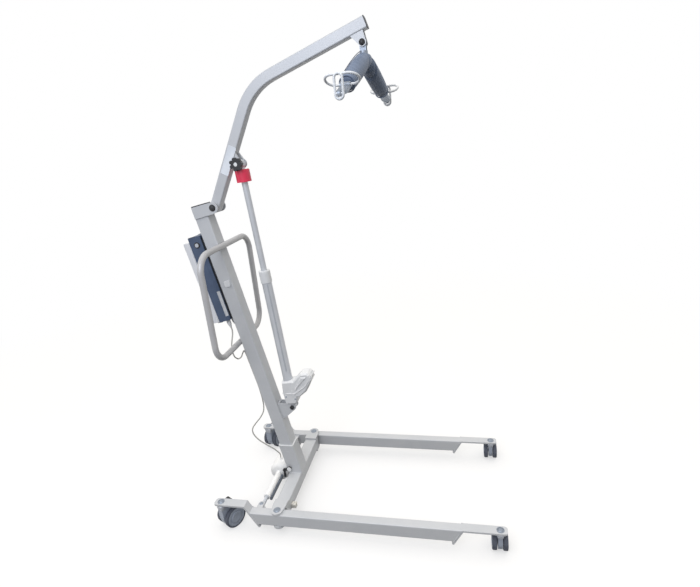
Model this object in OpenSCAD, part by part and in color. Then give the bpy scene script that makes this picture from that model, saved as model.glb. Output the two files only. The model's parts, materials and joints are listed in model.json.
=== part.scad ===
// Mobile patient hoist with an electric boom and electrically opening legs.
// Origin on the floor, midway between the leg pivots, under the foot of the mast.
// +X points to the front of the legs, +Y to the far leg, +Z up. Millimetres.

/* [Legs and cross-member] */
// Distance between the two leg pivots
leg_pitch = 562; // [520:1:620]
// Height of the leg tube
leg_h = 60; // [50:1:70]
// Width of the leg tube
leg_w = 40; // [36:1:50]
// Wall of the leg tube
leg_wall = 3; // [2:0.5:4]
// Height of the leg's underside above the floor
leg_floor = 51; // [45:1:60]
// Pivot to the front end of the leg tube, along its top
leg_front = 785; // [700:1:850]
// Pivot to the rear end of the leg tube, along its top
leg_rear = 123; // [110:1:140]
// How far the slanted tube ends run back over the tube's height
end_run = 34; // [25:1:45]
// Thickness of the bent caster plates
plate_t = 8; // [6:1:10]
// How far a caster plate hangs below its leg
plate_lip = 12; // [5:1:15]
// Rise of the rear caster plate above the leg
rear_rise = 33; // [20:1:40]
// Pivot to the front caster bolt
front_bolt = 933; // [880:1:980]
// Pivot to the rear caster bolt
rear_bolt = 259; // [245:1:290]
// Caster plate past its bolt
plate_end = 28; // [22:1:40]
// Width of the cross-member tube
cross_w = 60; // [50:1:70]
// Wall of the cross-member tube
cross_wall = 3; // [2:0.5:4]
// Gap between the cross-member's end and the leg
cross_gap = 11; // [8:1:20]
// Thickness of the pivot lugs
lug_t = 10; // [6:1:12]
// Radius of a lug's round end
lug_r = 25; // [20:1:30]
// How far a lug lies on the cross-member
lug_weld = 32; // [20:1:50]
// Radius of the leg pivot bolt
pivot_r = 8; // [6:0.5:10]

/* [Casters] */
// Front wheel diameter
front_d = 75; // [70:1:78]
// Rear wheel diameter
rear_d = 100; // [90:1:106]
// Width of one front wheel
front_wheel_w = 21; // [18:1:25]
// Width of one rear wheel
rear_wheel_w = 22; // [18:1:26]
// Space between the two wheels of a front caster
front_gap = 22; // [16:1:26]
// Space between the two wheels of a rear caster
rear_gap = 36; // [24:1:40]
// Tyre thickness
tyre_t = 7; // [5:0.5:9]
// Offset of the front axle from its swivel axis
front_trail = 22; // [18:1:28]
// Offset of the rear axle from its swivel axis
rear_trail = 36; // [28:1:40]
// Radius of the caster's swivel bolt
king_r = 6; // [5:0.5:7]
// Radius of the wheel axles
axle_r = 4.5; // [3:0.5:5]
// Direction that the near front caster trails
near_front_steer = 90; // [0:5:360]
// Direction that the near rear caster trails
near_rear_steer = 62; // [0:1:360]
// Direction that the far front caster trails
far_front_steer = 90; // [0:5:360]
// Direction that the far rear caster trails
far_rear_steer = 75; // [0:5:360]

/* [Mast and handle] */
// Width of the square mast tube
mast_w = 60; // [50:1:70]
// Wall of the mast tube
mast_wall = 3; // [2:0.5:4]
// Length of the mast from its foot
mast_len = 1318; // [1250:1:1400]
// Backward lean of the mast
mast_lean = 10.6; // [6:0.1:14]
// Wall of the socket that holds the mast
socket_wall = 5; // [4:0.5:8]
// Height of the socket's rim above the cross-member
socket_h = 151; // [120:1:180]
// Height of the collar round the socket's rim
collar_h = 30; // [20:1:40]
// Diameter of the handle tube
handle_d = 25; // [22:1:32]
// Width of the handle loop between tube centres
handle_w = 444; // [380:1:480]
// Height on the mast of the handle's top bar
handle_top = 1139; // [1100:1:1160]
// Height on the mast of the handle's bottom bar
handle_bottom = 706; // [660:1:760]
// Bend radius of the handle tube
handle_bend = 70; // [45:1:90]
// Side of the square caps on the mast
side_cap = 26; // [20:1:30]
// Height on the mast of the square caps
side_cap_at = 979; // [900:1:1020]

/* [Boom] */
// Side of the square boom tube
boom_w = 40; // [36:1:44]
// Wall of the boom tube
boom_wall = 3; // [2:0.5:4]
// Boom pivot in front of the mast's centre line
pivot_u = 65; // [60:1:75]
// Boom pivot below the top of the mast
pivot_drop = 22; // [20:1:30]
// Thickness of the head plates
head_t = 6; // [4:1:8]
// Rise of the boom's lower stretch from the horizontal
boom_rise = 62.3; // [55:0.1:70]
// Straight lower stretch of the boom
boom_lower = 396; // [350:1:450]
// Angle of the boom's bend
boom_bend = 43; // [35:1:50]
// Bend radius at the tube's centre line
boom_bend_r = 230; // [180:1:280]
// Straight upper stretch of the boom
boom_upper = 380; // [340:1:430]
// Hanger pin before the end of the boom
hanger_back = 33; // [28:1:45]
// Hanger pin below the boom's centre line
hanger_drop = 53; // [48:1:60]
// Radius of the boom pivot pin
boom_pin_r = 8; // [6:0.5:10]

/* [Lift actuator] */
// Upper pivot along the boom from the boom pivot
lift_top_along = 205; // [180:1:230]
// Upper pivot below the boom's centre line
lift_top_drop = 45.5; // [44:0.5:52]
// Lower pivot in front of the mast's centre line
lift_foot_u = 94; // [86:1:110]
// Lower pivot height on the mast
lift_foot_w = 346; // [320:1:380]
// Radius of the actuator's pivot bolts
lift_pin_r = 6; // [5:0.5:7]
// Rod diameter
rod_d = 25; // [22:1:28]
// Outer tube diameter
cylinder_d = 42; // [38:1:46]
// Lower pivot to the top of the guide ring
cylinder_top = 654; // [620:1:690]
// Length of the guide ring
ring_l = 52; // [40:1:60]
// Diameter of the lowering collar
lower_d = 58; // [50:1:60]
// Length of the lowering collar
lower_l = 48; // [40:1:52]
// Thickness of the lower bracket's plates
foot_t = 5; // [4:1:8]

/* [Spreader bar] */
// Turn of the spreader bar about its swivel
spreader_turn = -7; // [-180:1:180]
// Half of the spreader, from its centre to the end of a pad
spreader_half = 205; // [180:1:240]
// Drop of the spreader's ends below its middle
spreader_drop = 96; // [60:1:110]
// Diameter of the spreader's steel bar
bar_d = 26; // [22:1:30]
// Diameter of the pad in the middle of each arm
pad_d = 66; // [50:1:72]
// Length of a sling loop
loop_l = 118; // [100:1:140]
// Height of a sling loop
loop_h = 66; // [60:1:80]
// Diameter of the loop wire
loop_wire = 8; // [7:0.5:10]
// Lean of the sling loops from the upright
loop_lean = 62; // [40:1:75]
// Length of a hook gate
gate_l = 80; // [70:1:90]
// Width of a hook gate
gate_w = 34; // [30:1:40]

/* [Control box] */
// Lower end of the control box on the mast
box_low = 822; // [780:1:850]
// Length of the control box
box_l = 376; // [340:1:400]
// Width of the control box
box_w = 86; // [76:1:100]
// Depth of the control housing
housing_t = 51; // [44:1:60]
// Depth of the battery
battery_t = 30; // [24:1:40]
// Width of the battery
battery_w = 92; // [80:1:104]
// Wall of the plastic cases
case_wall = 3; // [2:0.5:4]
// Thickness of the black mounting plate
mount_t = 6; // [4:1:8]

/* [Leg actuator] */
// Leg actuator behind the leg pivots
spread_x = 95; // [85:1:105]
// Leg actuator above the floor
spread_z = 85; // [78:1:90]
// Actuator pin inside the leg's centre line
spread_in = 49; // [46:1:55]
// Diameter of the actuator's tube
spread_d = 30; // [28:1:36]
// Diameter of the actuator's motor housing
motor_d = 96; // [76:1:98]

/* [Hidden] */
$fn = 64;

// Radial clearance of every running fit
run = 0.06;
// Gap between faces that pass each other
pass = 0.5;
// Gap between pieces that are seated on each other
seat = 0.2;
eps = 0.01;
corner_r = 5;

paint = [0.74, 0.75, 0.76];
steel = [0.66, 0.67, 0.69];
black = [0.08, 0.08, 0.09];
white = [0.90, 0.91, 0.92];
slate = [0.30, 0.36, 0.45];
grey_blue = [0.48, 0.53, 0.60];
red = [0.86, 0.16, 0.26];

// Legs and cross-member
leg_y = leg_pitch / 2;
leg_top = leg_floor + leg_h;
end_slant = atan2(end_run, leg_h);
cross_h = leg_h + 2 * pass;
cross_low = leg_floor - pass;
cross_top = cross_low + cross_h;
cross_half = leg_y - leg_w / 2 - cross_gap;
bolt_head_r = 11;
weld_gap = 0.06;
bolt_head_h = 5;
rear_plate_top = leg_top + rear_rise;

// Casters
caster_gap = 0.8;
front_under = leg_top - plate_t;
rear_under = rear_plate_top - plate_t;
wheel_clear = 2;
core_clear = 2;
function king_in(under, d) = under - caster_gap - d - wheel_clear - 4;

// Mast frame: u is forward of the mast's centre line, w is up along it
foot_z = cross_top;
function mast_at(u, w) = [u * cos(mast_lean) - w * sin(mast_lean), 0,
    foot_z + u * sin(mast_lean) + w * cos(mast_lean)];
mast_half = mast_w / 2;
pivot_w = mast_len - pivot_drop;
boom_pivot = mast_at(pivot_u, pivot_w);
socket_w = mast_w + 2 * seat + 2 * socket_wall;
rim_z = foot_z + socket_h;

// Handle loop
handle_r = handle_d / 2;
handle_off = mast_half + handle_r + seat;
handle_hi = mast_at(handle_off, handle_top);
handle_lo = mast_at(-handle_off, handle_bottom);
handle_h = norm(handle_hi - handle_lo);
handle_tilt = atan2(handle_hi.x - handle_lo.x, handle_hi.z - handle_lo.z);

// Boom frame: x runs up the lower stretch, -z faces the actuator
boom_half = boom_w / 2;
boss_l = mast_w - 2 * pass;
boss_r = 18.5;
function boom_at(along, below) = boom_pivot
    + [along * cos(boom_rise) + below * sin(boom_rise), 0,
       along * sin(boom_rise) - below * cos(boom_rise)];
end_rise = boom_rise - boom_bend;
bend_end = boom_at(boom_lower + boom_bend_r * sin(boom_bend), boom_bend_r * (1 - cos(boom_bend)));
function upper_at(along, below) = bend_end
    + [along * cos(end_rise) + below * sin(end_rise), 0,
       along * sin(end_rise) - below * cos(end_rise)];
hanger = upper_at(boom_upper - hanger_back, hanger_drop);
ear_t = 6;
ear_in = boom_half - ear_t - 0.5;
ear_r = 19;

// Lift actuator frame: z runs from the lower pivot to the upper one
lift_top = boom_at(lift_top_along, lift_top_drop);
lift_foot = mast_at(lift_foot_u, lift_foot_w);
lift_l = norm(lift_top - lift_foot);
lift_tilt = atan2(lift_top.x - lift_foot.x, lift_top.z - lift_foot.z);
rod_r = rod_d / 2;
cylinder_r = cylinder_d / 2;
cylinder_wall = 4;
ring_wall = 3;
eye_r = 17;
rod_eye_t = 2 * (ear_in - 1.5);
foot_in = 14;
foot_eye_t = 2 * (foot_in - 1.5);
lower_gap = 3;
lower_top = lift_l - ear_r - lower_gap;
rod_tail = 95;
rod_low = cylinder_top - rod_tail;
spindle_r = 6;
rod_wall = 3.5;
nut_l = 40;
foot_plate_up = 15;
gear_low = foot_plate_up + 4;
gear_top = 138;
gear_w = 62;
gear_wall = 3;
motor_at = [76, 0, 124];
motor_r = 18;
motor_l = 62;
motor_turn = 42;

// Spreader
yoke_t = 5;
yoke_in = ear_in - 1 - yoke_t;
yoke_block_z = 25;
yoke_block_h = 11;
swivel_r = 5;
apex_z = hanger.z - yoke_block_z - yoke_block_h - pass - 12;
bar_r = bar_d / 2;
arm_l = norm([spreader_half, spreader_drop]);
arm_fall = atan2(spreader_drop, spreader_half);
plate_reach = 68;
plate_in = 24;
plate_w = 34;
hook_t = 10;
pad_r = pad_d / 2;
pad_hole_r = 20;
loop_along = arm_l + 32;
loop_up = 27.5;
gate_along = arm_l + 83;
gate_up = 5;
gate_rise = 20;
gate_pin_r = 3.5;

// Control box
housing_u = -mast_half - mount_t;
housing_back = housing_u - housing_t;
battery_u = housing_back - pass;
battery_back = battery_u - battery_t;
box_top = box_low + box_l;
battery_top = box_top - 13;
battery_low = box_low + pass;
board_t = 2;

// Leg actuator
spread_pin_y = leg_y - spread_in;
spread_pin_r = 5;
spread_eye_t = 16;
spread_lug_t = 8;
spread_lug_r = 14;
open_play = 1.2;
spread_tube_near = -174;
motor_from = -14;
motor_to = 130;
cable_in_y = 30;
gland_r = 7;
gland_h = 8;

// Rounded rectangle, centred
module round_rect(w, h, r) {
    square([w - 2 * r, h], center = true);
    square([w, h - 2 * r], center = true);
    for (sx = [-1, 1], sy = [-1, 1])
        translate([sx * (w / 2 - r), sy * (h / 2 - r)]) circle(r = r);
}

// Section of a rectangular tube
module tube_section(w, h, wall) {
    difference() {
        round_rect(w, h, corner_r);
        round_rect(w - 2 * wall, h - 2 * wall, corner_r - wall + 1);
    }
}

// A prism along X whose section lies across Y and up Z
module along_x(l) {
    rotate([90, 0, 90]) linear_extrude(height = l) children();
}

// A plate in the XZ plane, centred on y = 0
module plate_xz(t) {
    rotate([90, 0, 0]) linear_extrude(height = t, center = true) children();
}

// A cylinder along Y, centred
module pin_y(r, l) {
    rotate([90, 0, 0]) cylinder(r = r, h = l, center = true);
}

// A domed cap that sits on z = 0
module dome(r, h) {
    rotate_extrude() {
        intersection() {
            translate([0, h - (r * r + h * h) / (2 * h)]) circle(r = (r * r + h * h) / (2 * h), $fn = 96);
            square([r, h]);
        }
    }
}

module on_mast() {
    translate([0, 0, foot_z]) rotate([0, -mast_lean, 0]) children();
}

module on_boom() {
    translate(boom_pivot) rotate([0, -boom_rise, 0]) children();
}

module on_boom_end() {
    translate(bend_end) rotate([0, -end_rise, 0]) children();
}

module on_lift() {
    translate(lift_foot) rotate([0, lift_tilt, 0]) children();
}

module on_spreader() {
    translate([hanger.x, 0, apex_z]) rotate([0, 0, spreader_turn]) children();
}

// side is -1 for the near arm and 1 for the far one; x runs out along the arm
module on_arm(side) {
    on_spreader() rotate([0, 0, side * 90]) rotate([0, arm_fall, 0]) children();
}

// Cross-member

module lug_outline() {
    translate([0, leg_y]) circle(r = lug_r);
    polygon([[-cross_w / 2, cross_half - lug_weld], [cross_w / 2, cross_half - lug_weld],
        [cross_w / 2, cross_half + 4], [lug_r, leg_y], [-lug_r, leg_y], [-cross_w / 2, cross_half + 4]]);
}

module cross_member() {
    color(paint) difference() {
        union() {
            translate([0, cross_half, cross_low + cross_h / 2]) rotate([90, 0, 0])
                linear_extrude(height = 2 * cross_half) tube_section(cross_w, cross_h, cross_wall);
            for (side = [0, 1]) mirror([0, side, 0]) {
                translate([0, 0, cross_top]) linear_extrude(height = lug_t) lug_outline();
                translate([0, 0, cross_low - lug_t]) linear_extrude(height = lug_t) lug_outline();
            }
        }
        for (side = [-1, 1])
            translate([0, side * leg_y, 0]) cylinder(r = pivot_r + run, h = 2 * cross_top);
    }
}

// Mast and what is fixed to it

lever_at = mast_at(-mast_half + 12, 32);
lever_shaft_r = 5;
lever_y = -socket_w / 2;

module mast_socket() {
    inner = mast_w + 2 * seat;
    color(paint) difference() {
        intersection() {
            on_mast() translate([0, 0, -40]) union() {
                linear_extrude(height = socket_h + 100) round_rect(socket_w, socket_w, corner_r);
            }
            translate([-200, -200, foot_z]) cube([400, 400, socket_h]);
        }
        on_mast() translate([0, 0, -60]) linear_extrude(height = socket_h + 140)
            round_rect(inner, inner, corner_r);
        translate([lever_at.x, lever_y, lever_at.z]) pin_y(lever_shaft_r + run, 4 * socket_wall);
        on_mast() translate([0, socket_w / 2 - 16, socket_h - 22]) rotate([0, 90, 0])
            cylinder(r = 3, h = socket_w);
        for (side = [-1, 1])
            translate([-200, side * (socket_w / 2 + 99) - 100, rim_z - collar_h - 2]) cube([400, 200, 2]);
    }
}

module mast() {
    inner_foot = 6;
    color(paint) difference() {
        on_mast() translate([0, 0, -20]) linear_extrude(height = mast_len + 20)
            tube_section(mast_w, mast_w, mast_wall);
        translate([-200, -200, foot_z - 200]) cube([400, 400, 200 + inner_foot]);
    }
}

module mast_top_cap() {
    cap_t = 4;
    plug = mast_w - 2 * mast_wall - 2 * seat;
    color(black) on_mast() translate([0, 0, mast_len]) {
        linear_extrude(height = cap_t) round_rect(mast_w, mast_w, corner_r);
        translate([0, 0, -18]) linear_extrude(height = 18 + eps) difference() {
            round_rect(plug, plug, corner_r - 2);
            round_rect(plug - 6, plug - 6, 2);
        }
    }
}

module mast_side_caps() {
    cap_t = 4;
    color(white) on_mast() for (side = [-1, 1])
        translate([7, side * (mast_half + cap_t / 2), side_cap_at]) plate_xz(cap_t)
            round_rect(side_cap, side_cap, 4);
}

module head_outline() {
    nose_r = 23;
    back = -26;
    translate([pivot_u, pivot_w]) circle(r = nose_r);
    polygon([[back, pivot_w - nose_r - 3], [pivot_u, pivot_w - nose_r],
        [pivot_u, pivot_w + nose_r], [back, pivot_w + nose_r - 1]]);
}

module head_bracket() {
    color(paint) on_mast() for (side = [-1, 1])
        translate([0, side * (mast_half + head_t / 2), 0]) plate_xz(head_t) difference() {
            head_outline();
            translate([pivot_u, pivot_w]) circle(r = boom_pin_r + run);
        }
}

module boom_pivot_pin() {
    cap_r = 14;
    cap_h = 8;
    end_y = mast_half + head_t;
    color(black) translate(boom_pivot) {
        pin_y(boom_pin_r, 2 * end_y);
        for (side = [-1, 1])
            translate([0, side * end_y, 0]) rotate([-side * 90, 0, 0]) dome(cap_r, cap_h);
    }
}

module handle_corner(y, z, turn) {
    translate([0, y, z]) rotate([0, 90, 0]) rotate([0, 0, turn])
        rotate_extrude(angle = 90) translate([handle_bend, 0]) children();
}

module handle_loop(r) {
    half = handle_w / 2;
    straight_y = handle_w - 2 * handle_bend;
    straight_z = handle_h - 2 * handle_bend;
    for (z = [0, handle_h]) translate([0, 0, z]) pin_y(r, straight_y);
    for (side = [-1, 1]) {
        translate([0, side * half, handle_bend]) cylinder(r = r, h = straight_z);
        handle_corner(side * (half - handle_bend), handle_h - handle_bend, side > 0 ? 90 : 180)
            circle(r = r);
        handle_corner(side * (half - handle_bend), handle_bend, side > 0 ? 0 : 270) circle(r = r);
    }
}

module push_handle() {
    handle_wall = 2;
    vent_r = 2;
    color(paint) translate(handle_lo) rotate([0, handle_tilt, 0]) difference() {
        handle_loop(handle_r);
        handle_loop(handle_r - handle_wall);
        translate([0, 60, -handle_d]) cylinder(r = vent_r, h = handle_d);
    }
}

// Lower bracket of the lift actuator

foot_nose = 17;
foot_web_t = 6;

module foot_outline() {
    u0 = mast_half;
    translate([lift_foot_u, lift_foot_w]) circle(r = foot_nose);
    polygon([[u0, lift_foot_w - 52], [u0 + 22, lift_foot_w - 45],
        [lift_foot_u + 6, lift_foot_w - foot_nose + 1], [lift_foot_u + 3, lift_foot_w + foot_plate_up],
        [u0, lift_foot_w + foot_plate_up + 14]]);
}

module lift_bracket() {
    color(paint) on_mast() {
        for (side = [-1, 1]) translate([0, side * (foot_in + foot_t / 2), 0])
            plate_xz(foot_t) difference() {
                foot_outline();
                translate([lift_foot_u, lift_foot_w]) circle(r = lift_pin_r + run);
            }
        translate([mast_half, -foot_in - eps, lift_foot_w - 52])
            cube([foot_web_t, 2 * foot_in + 2 * eps, 80]);
    }
}

module lift_bracket_pins() {
    cap_r = 10;
    cap_h = 7;
    color(black) translate(lift_foot) for (side = [-1, 1]) {
        translate([0, side * (foot_in + foot_t / 2), 0]) pin_y(lift_pin_r, foot_t);
        translate([0, side * (foot_in + foot_t), 0]) rotate([-side * 90, 0, 0]) difference() {
            cylinder(r = cap_r, h = cap_h);
            translate([0, 0, cap_h - 3]) cylinder(r = cap_r - 4, h = 4);
        }
    }
}

// Control box and battery, in the mast frame

module housing_outline(inset) {
    front = box_w / 2 - 9 - inset;
    side = box_w / 2 - inset;
    back = housing_back + inset;
    polygon([[housing_u, -front], [housing_u, front], [housing_u - 14, side], [back, side],
        [back, -side], [housing_u - 14, -side]]);
}

module control_bracket() {
    in = 14;
    color(black) on_mast() translate([-mast_half - mount_t, -box_w / 2 + in, box_low + in / 3])
        cube([mount_t, box_w - 2 * in, box_l - in]);
}

release_u = housing_u - 20;
release_drop = 30;
release_w = box_top - release_drop;
release_r = 8;

module control_housing() {
    arch_r = 260;
    lip_u = 16;
    color(slate) on_mast() difference() {
        union() {
            intersection() {
                translate([0, 0, box_low]) linear_extrude(height = box_l + 20) housing_outline(0);
                translate([(housing_u + housing_back) / 2, 0, box_top - arch_r + 6]) union() {
                    pin_y(arch_r, 2 * box_w);
                    translate([0, 0, -box_l]) cube([2 * arch_r, 2 * box_w, 2 * box_l - 40], center = true);
                }
            }
            translate([housing_back - lip_u, -box_w / 2 + 12, box_low - 6])
                cube([lip_u + 6, box_w - 24, 6]);
        }
        translate([eps, 0, box_low + case_wall]) linear_extrude(height = box_l - 2 * case_wall - 4)
            housing_outline(case_wall);
        translate([release_u, -box_w / 2, release_w]) pin_y(release_r + run, 4 * case_wall);
    }
}

module control_board() {
    post_r = 3;
    post_l = 8;
    board_w = box_w - 2 * case_wall - 12;
    back = housing_back + case_wall;
    color([0.10, 0.42, 0.22]) on_mast() {
        translate([back + post_l, -board_w / 2, box_low + 30]) cube([board_t, board_w, box_l - 110]);
        for (y = [-1, 1], w = [box_low + 44, box_low + box_l - 100])
            translate([back, y * (board_w / 2 - 8), w]) rotate([0, 90, 0])
                cylinder(r = post_r, h = post_l + eps);
    }
}

plug_spots = [[-19, -24], [-19, 16], [-34, -4]];
plug_l = 24;

module lead_plugs() {
    color(white) on_mast() for (p = plug_spots)
        translate([housing_u + p[0], p[1], box_low - plug_l]) {
            cylinder(r = 8, h = plug_l);
            translate([0, 0, -12]) cylinder(r1 = 4.5, r2 = 6.5, h = 12 + eps);
        }
}

module battery_outline(inset) {
    translate([(battery_u + battery_back) / 2, 0])
        round_rect(battery_t - 2 * inset, battery_w - 2 * inset, 7 - inset);
}

module battery_case() {
    vent_r = 2;
    battery_l = battery_top - battery_low;
    color([0.80, 0.83, 0.87]) on_mast() translate([0, 0, battery_low]) difference() {
        linear_extrude(height = battery_l) battery_outline(0);
        translate([0, 0, case_wall]) linear_extrude(height = battery_l - 2 * case_wall)
            battery_outline(case_wall);
        translate([battery_back + 10, battery_w / 2 - 14, -1]) cylinder(r = vent_r, h = case_wall + 2);
    }
}

module battery_cells() {
    cell_l = (battery_top - battery_low - 2 * case_wall) / 2 - 6;
    cell_t = battery_t - 2 * case_wall - 2;
    cell_w = battery_w - 2 * case_wall - 10;
    cell_low = battery_low + case_wall + seat;
    color([0.20, 0.20, 0.24]) on_mast() for (k = [0, 1])
        translate([battery_back + case_wall + 1, -cell_w / 2, cell_low + k * (cell_l + 4)])
            cube([cell_t, cell_w, cell_l]);
}

module battery_release() {
    stem = case_wall + 5;
    color(white) on_mast() translate([release_u, -box_w / 2 - 4 + stem / 2, release_w])
        pin_y(release_r, stem);
}

// Lever that locks the mast in its socket

module mast_lock_lever() {
    arm_y = lever_y - 8;
    shaft_in = lever_y + socket_wall - 1;
    grip_at = [lever_at.x - 27, lever_at.z - 8];
    grip_l = 38;
    grip_r = 6;
    color(steel) {
        translate([lever_at.x, (shaft_in + arm_y) / 2, lever_at.z]) pin_y(lever_shaft_r, shaft_in - arm_y);
        translate([lever_at.x, arm_y, lever_at.z]) pin_y(9, 10);
        translate([grip_at[0], arm_y, grip_at[1]]) pin_y(7, 8);
        translate([0, arm_y, 0]) plate_xz(8) polygon([[lever_at.x, lever_at.z + 8],
            [grip_at[0], grip_at[1] + 6],
            [grip_at[0], grip_at[1] - 6], [lever_at.x, lever_at.z - 8]]);
        translate([grip_at[0], arm_y, grip_at[1] - grip_l]) cylinder(r = grip_r, h = grip_l);
        translate([grip_at[0], arm_y, grip_at[1] - grip_l]) mirror([0, 0, 1]) dome(grip_r, 4);
    }
}

// Legs, drawn about their own pivot line

module leg_end_cut(x, dir, half = leg_w) {
    span = 5 * leg_h;
    translate([x, 0, leg_top]) rotate([0, dir * end_slant, 0])
        translate([dir > 0 ? 0 : -span, -half, -span]) cube([span, 2 * half, 2 * span]);
}

// inward is +1 when the other leg lies in +Y
module leg_tube(inward) {
    color(paint) difference() {
        union() {
            difference() {
                translate([-leg_rear, 0, leg_floor + leg_h / 2]) along_x(leg_rear + leg_front)
                    tube_section(leg_w, leg_h, leg_wall);
                leg_end_cut(leg_front, 1);
                leg_end_cut(-leg_rear, -1);
            }
            translate([0, 0, leg_floor]) cylinder(r = pivot_r + 4, h = leg_h);
            difference() {
                for (z = [spread_z - spread_eye_t / 2 - 1 - spread_lug_t, spread_z + spread_eye_t / 2 + 1])
                    translate([-spread_x, inward * spread_in, z]) {
                        cylinder(r = spread_lug_r, h = spread_lug_t);
                        translate([-spread_lug_r, inward > 0 ? leg_w / 2 - spread_in - 1 : 0, 0])
                            cube([2 * spread_lug_r, spread_in - leg_w / 2 + 1, spread_lug_t]);
                    }
                leg_end_cut(-leg_rear, -1, leg_w / 2 + weld_gap);
            }
        }
        translate([0, 0, leg_floor - 1]) cylinder(r = pivot_r + run, h = leg_h + 2);
        translate([-spread_x, inward * spread_in, 0]) cylinder(r = spread_pin_r + run, h = leg_top);
    }
}

// Bent plate: flat at z, out to reach, and slanting down the tube's end from x
module bent_plate(x, z, reach, drop) {
    s = plate_t * (1 - sin(end_slant)) / cos(end_slant);
    run_l = drop / cos(end_slant);
    down = [-sin(end_slant), -cos(end_slant)];
    out = [cos(end_slant), -sin(end_slant)];
    p = [x, z];
    intersection() {
        plate_xz(leg_w) polygon([p, [reach, z], [reach, z - plate_t], p + plate_t * out + s * down,
            p + plate_t * out + run_l * down, p + run_l * down]);
        translate([(x - 200 + reach) / 2, 0, 0]) linear_extrude(height = 400)
            round_rect(reach - x + 200, leg_w, 13);
    }
}

module leg_plates() {
    color(paint) {
        difference() {
            bent_plate(leg_front + weld_gap, leg_top, front_bolt + plate_end, leg_h + plate_lip);
            translate([front_bolt, 0, 0]) cylinder(r = king_r + run, h = 2 * leg_top);
        }
        mirror([1, 0, 0]) difference() {
            bent_plate(leg_rear + rear_rise * tan(end_slant) + weld_gap, rear_plate_top,
                rear_bolt + plate_end,
                rear_rise + leg_h + plate_lip);
            translate([rear_bolt, 0, 0]) cylinder(r = king_r + run, h = 2 * leg_top);
        }
    }
}

module king_bolt(x, top, under, d) {
    deep = caster_gap + king_in(under, d);
    translate([x, 0, under - deep]) cylinder(r = king_r, h = top - under + deep);
    translate([x, 0, top]) dome(bolt_head_r, bolt_head_h);
}

// inward is +1 when the other leg lies in +Y; the spread pin stands in its lug
module leg_bolts(inward) {
    head = 7;
    low = cross_low - lug_t;
    top = cross_top + lug_t;
    lug_z = spread_z + spread_eye_t / 2 + 1 + spread_lug_t;
    color(steel) {
        king_bolt(front_bolt, leg_top, front_under, front_d);
        king_bolt(-rear_bolt, rear_plate_top, rear_under, rear_d);
        translate([0, 0, low - pass]) cylinder(r = pivot_r, h = top - low + 2 * pass);
        translate([0, 0, top + pass]) dome(bolt_head_r + 4, head);
        translate([0, 0, low - 8]) cylinder(r = bolt_head_r + 2, h = 8 - pass);
        translate([-spread_x, inward * spread_in, spread_z - spread_eye_t / 2 - 1 - spread_lug_t])
            cylinder(r = spread_pin_r, h = spread_eye_t + 2 + 2 * spread_lug_t);
        translate([-spread_x, inward * spread_in, lug_z]) dome(9, 4);
    }
}

module near_leg_tube() { translate([0, -leg_y, 0]) leg_tube(1); }
module far_leg_tube() { translate([0, leg_y, 0]) leg_tube(-1); }
module near_leg_plates() { translate([0, -leg_y, 0]) leg_plates(); }
module far_leg_plates() { translate([0, leg_y, 0]) leg_plates(); }
module near_leg_bolts() { translate([0, -leg_y, 0]) leg_bolts(1); }
module far_leg_bolts() { translate([0, leg_y, 0]) leg_bolts(-1); }

// Casters: the swivel axis is local Z, and the axle lies along local Y at x = trail

module place_caster(x, side, steer) {
    translate([x, side * leg_y, 0]) rotate([0, 0, steer]) children();
}

brake_pin_r = 3;
brake_at = [6, 15];

module caster_body(d, trail, under, wheel_w, gap, brake) {
    r = d / 2;
    core_t = gap - 2 * core_clear;
    deep = king_in(under, d);
    brake_x = brake_at[0] + trail / 2;
    top = under - caster_gap;
    boss_r = king_r + 8;
    axle_l = gap + 2 * wheel_w - 4;
    color(grey_blue) difference() {
        union() {
            translate([0, 0, top - deep - 4]) cylinder(r = boss_r, h = deep + 4);
            plate_xz(core_t) {
                translate([trail, r]) circle(r = 0.45 * r);
                polygon([[-boss_r, top - 4], [-boss_r, r + 6], [-boss_r + 6, 0.6 * r], [trail, 0.55 * r],
                    [trail + 0.45 * r, r], [trail + 2, top - 24], [boss_r, top - 10]]);
                if (brake) translate([brake_x, top - brake_at[1]]) circle(r = 6);
            }
            translate([trail, 0, r]) pin_y(axle_r, axle_l);
            if (brake) translate([brake_x, 0, top - brake_at[1]]) pin_y(brake_pin_r, core_t + 10);
        }
        translate([0, 0, top - deep - seat]) cylinder(r = king_r + run, h = deep + 10);
    }
}

module hub_half(r, w) {
    rotate_extrude() polygon([[axle_r + run, 1], [r - 4, 1], [r, 3], [r, w - 3], [r - 3, w - 1.5],
        [r * 0.72, w - 1.5], [r * 0.66, w - 4], [r * 0.4, w - 3], [r * 0.34, w], [axle_r + run, w]]);
}

module wheel_pair(gap) {
    for (side = [-1, 1]) rotate([-side * 90, 0, 0]) translate([0, 0, gap / 2]) children();
}

module caster_hubs(d, trail, w, gap) {
    color(grey_blue) translate([trail, 0, d / 2]) wheel_pair(gap) hub_half(d / 2 - tyre_t, w);
}

module caster_tyres(d, trail, w, gap) {
    r = d / 2;
    edge = 4;
    color(black) translate([trail, 0, r]) wheel_pair(gap) rotate_extrude($fn = 96) {
        difference() {
            union() {
                translate([r - tyre_t + seat, 1]) square([tyre_t - seat - edge, w - 2]);
                translate([r - tyre_t + seat, 1 + edge]) square([tyre_t - seat, w - 2 - 2 * edge]);
                for (z = [1 + edge, w - 1 - edge]) translate([r - edge, z]) circle(r = edge, $fn = 48);
            }
            translate([0, -w]) square([r - tyre_t + seat, 3 * w]);
        }
    }
}

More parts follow.
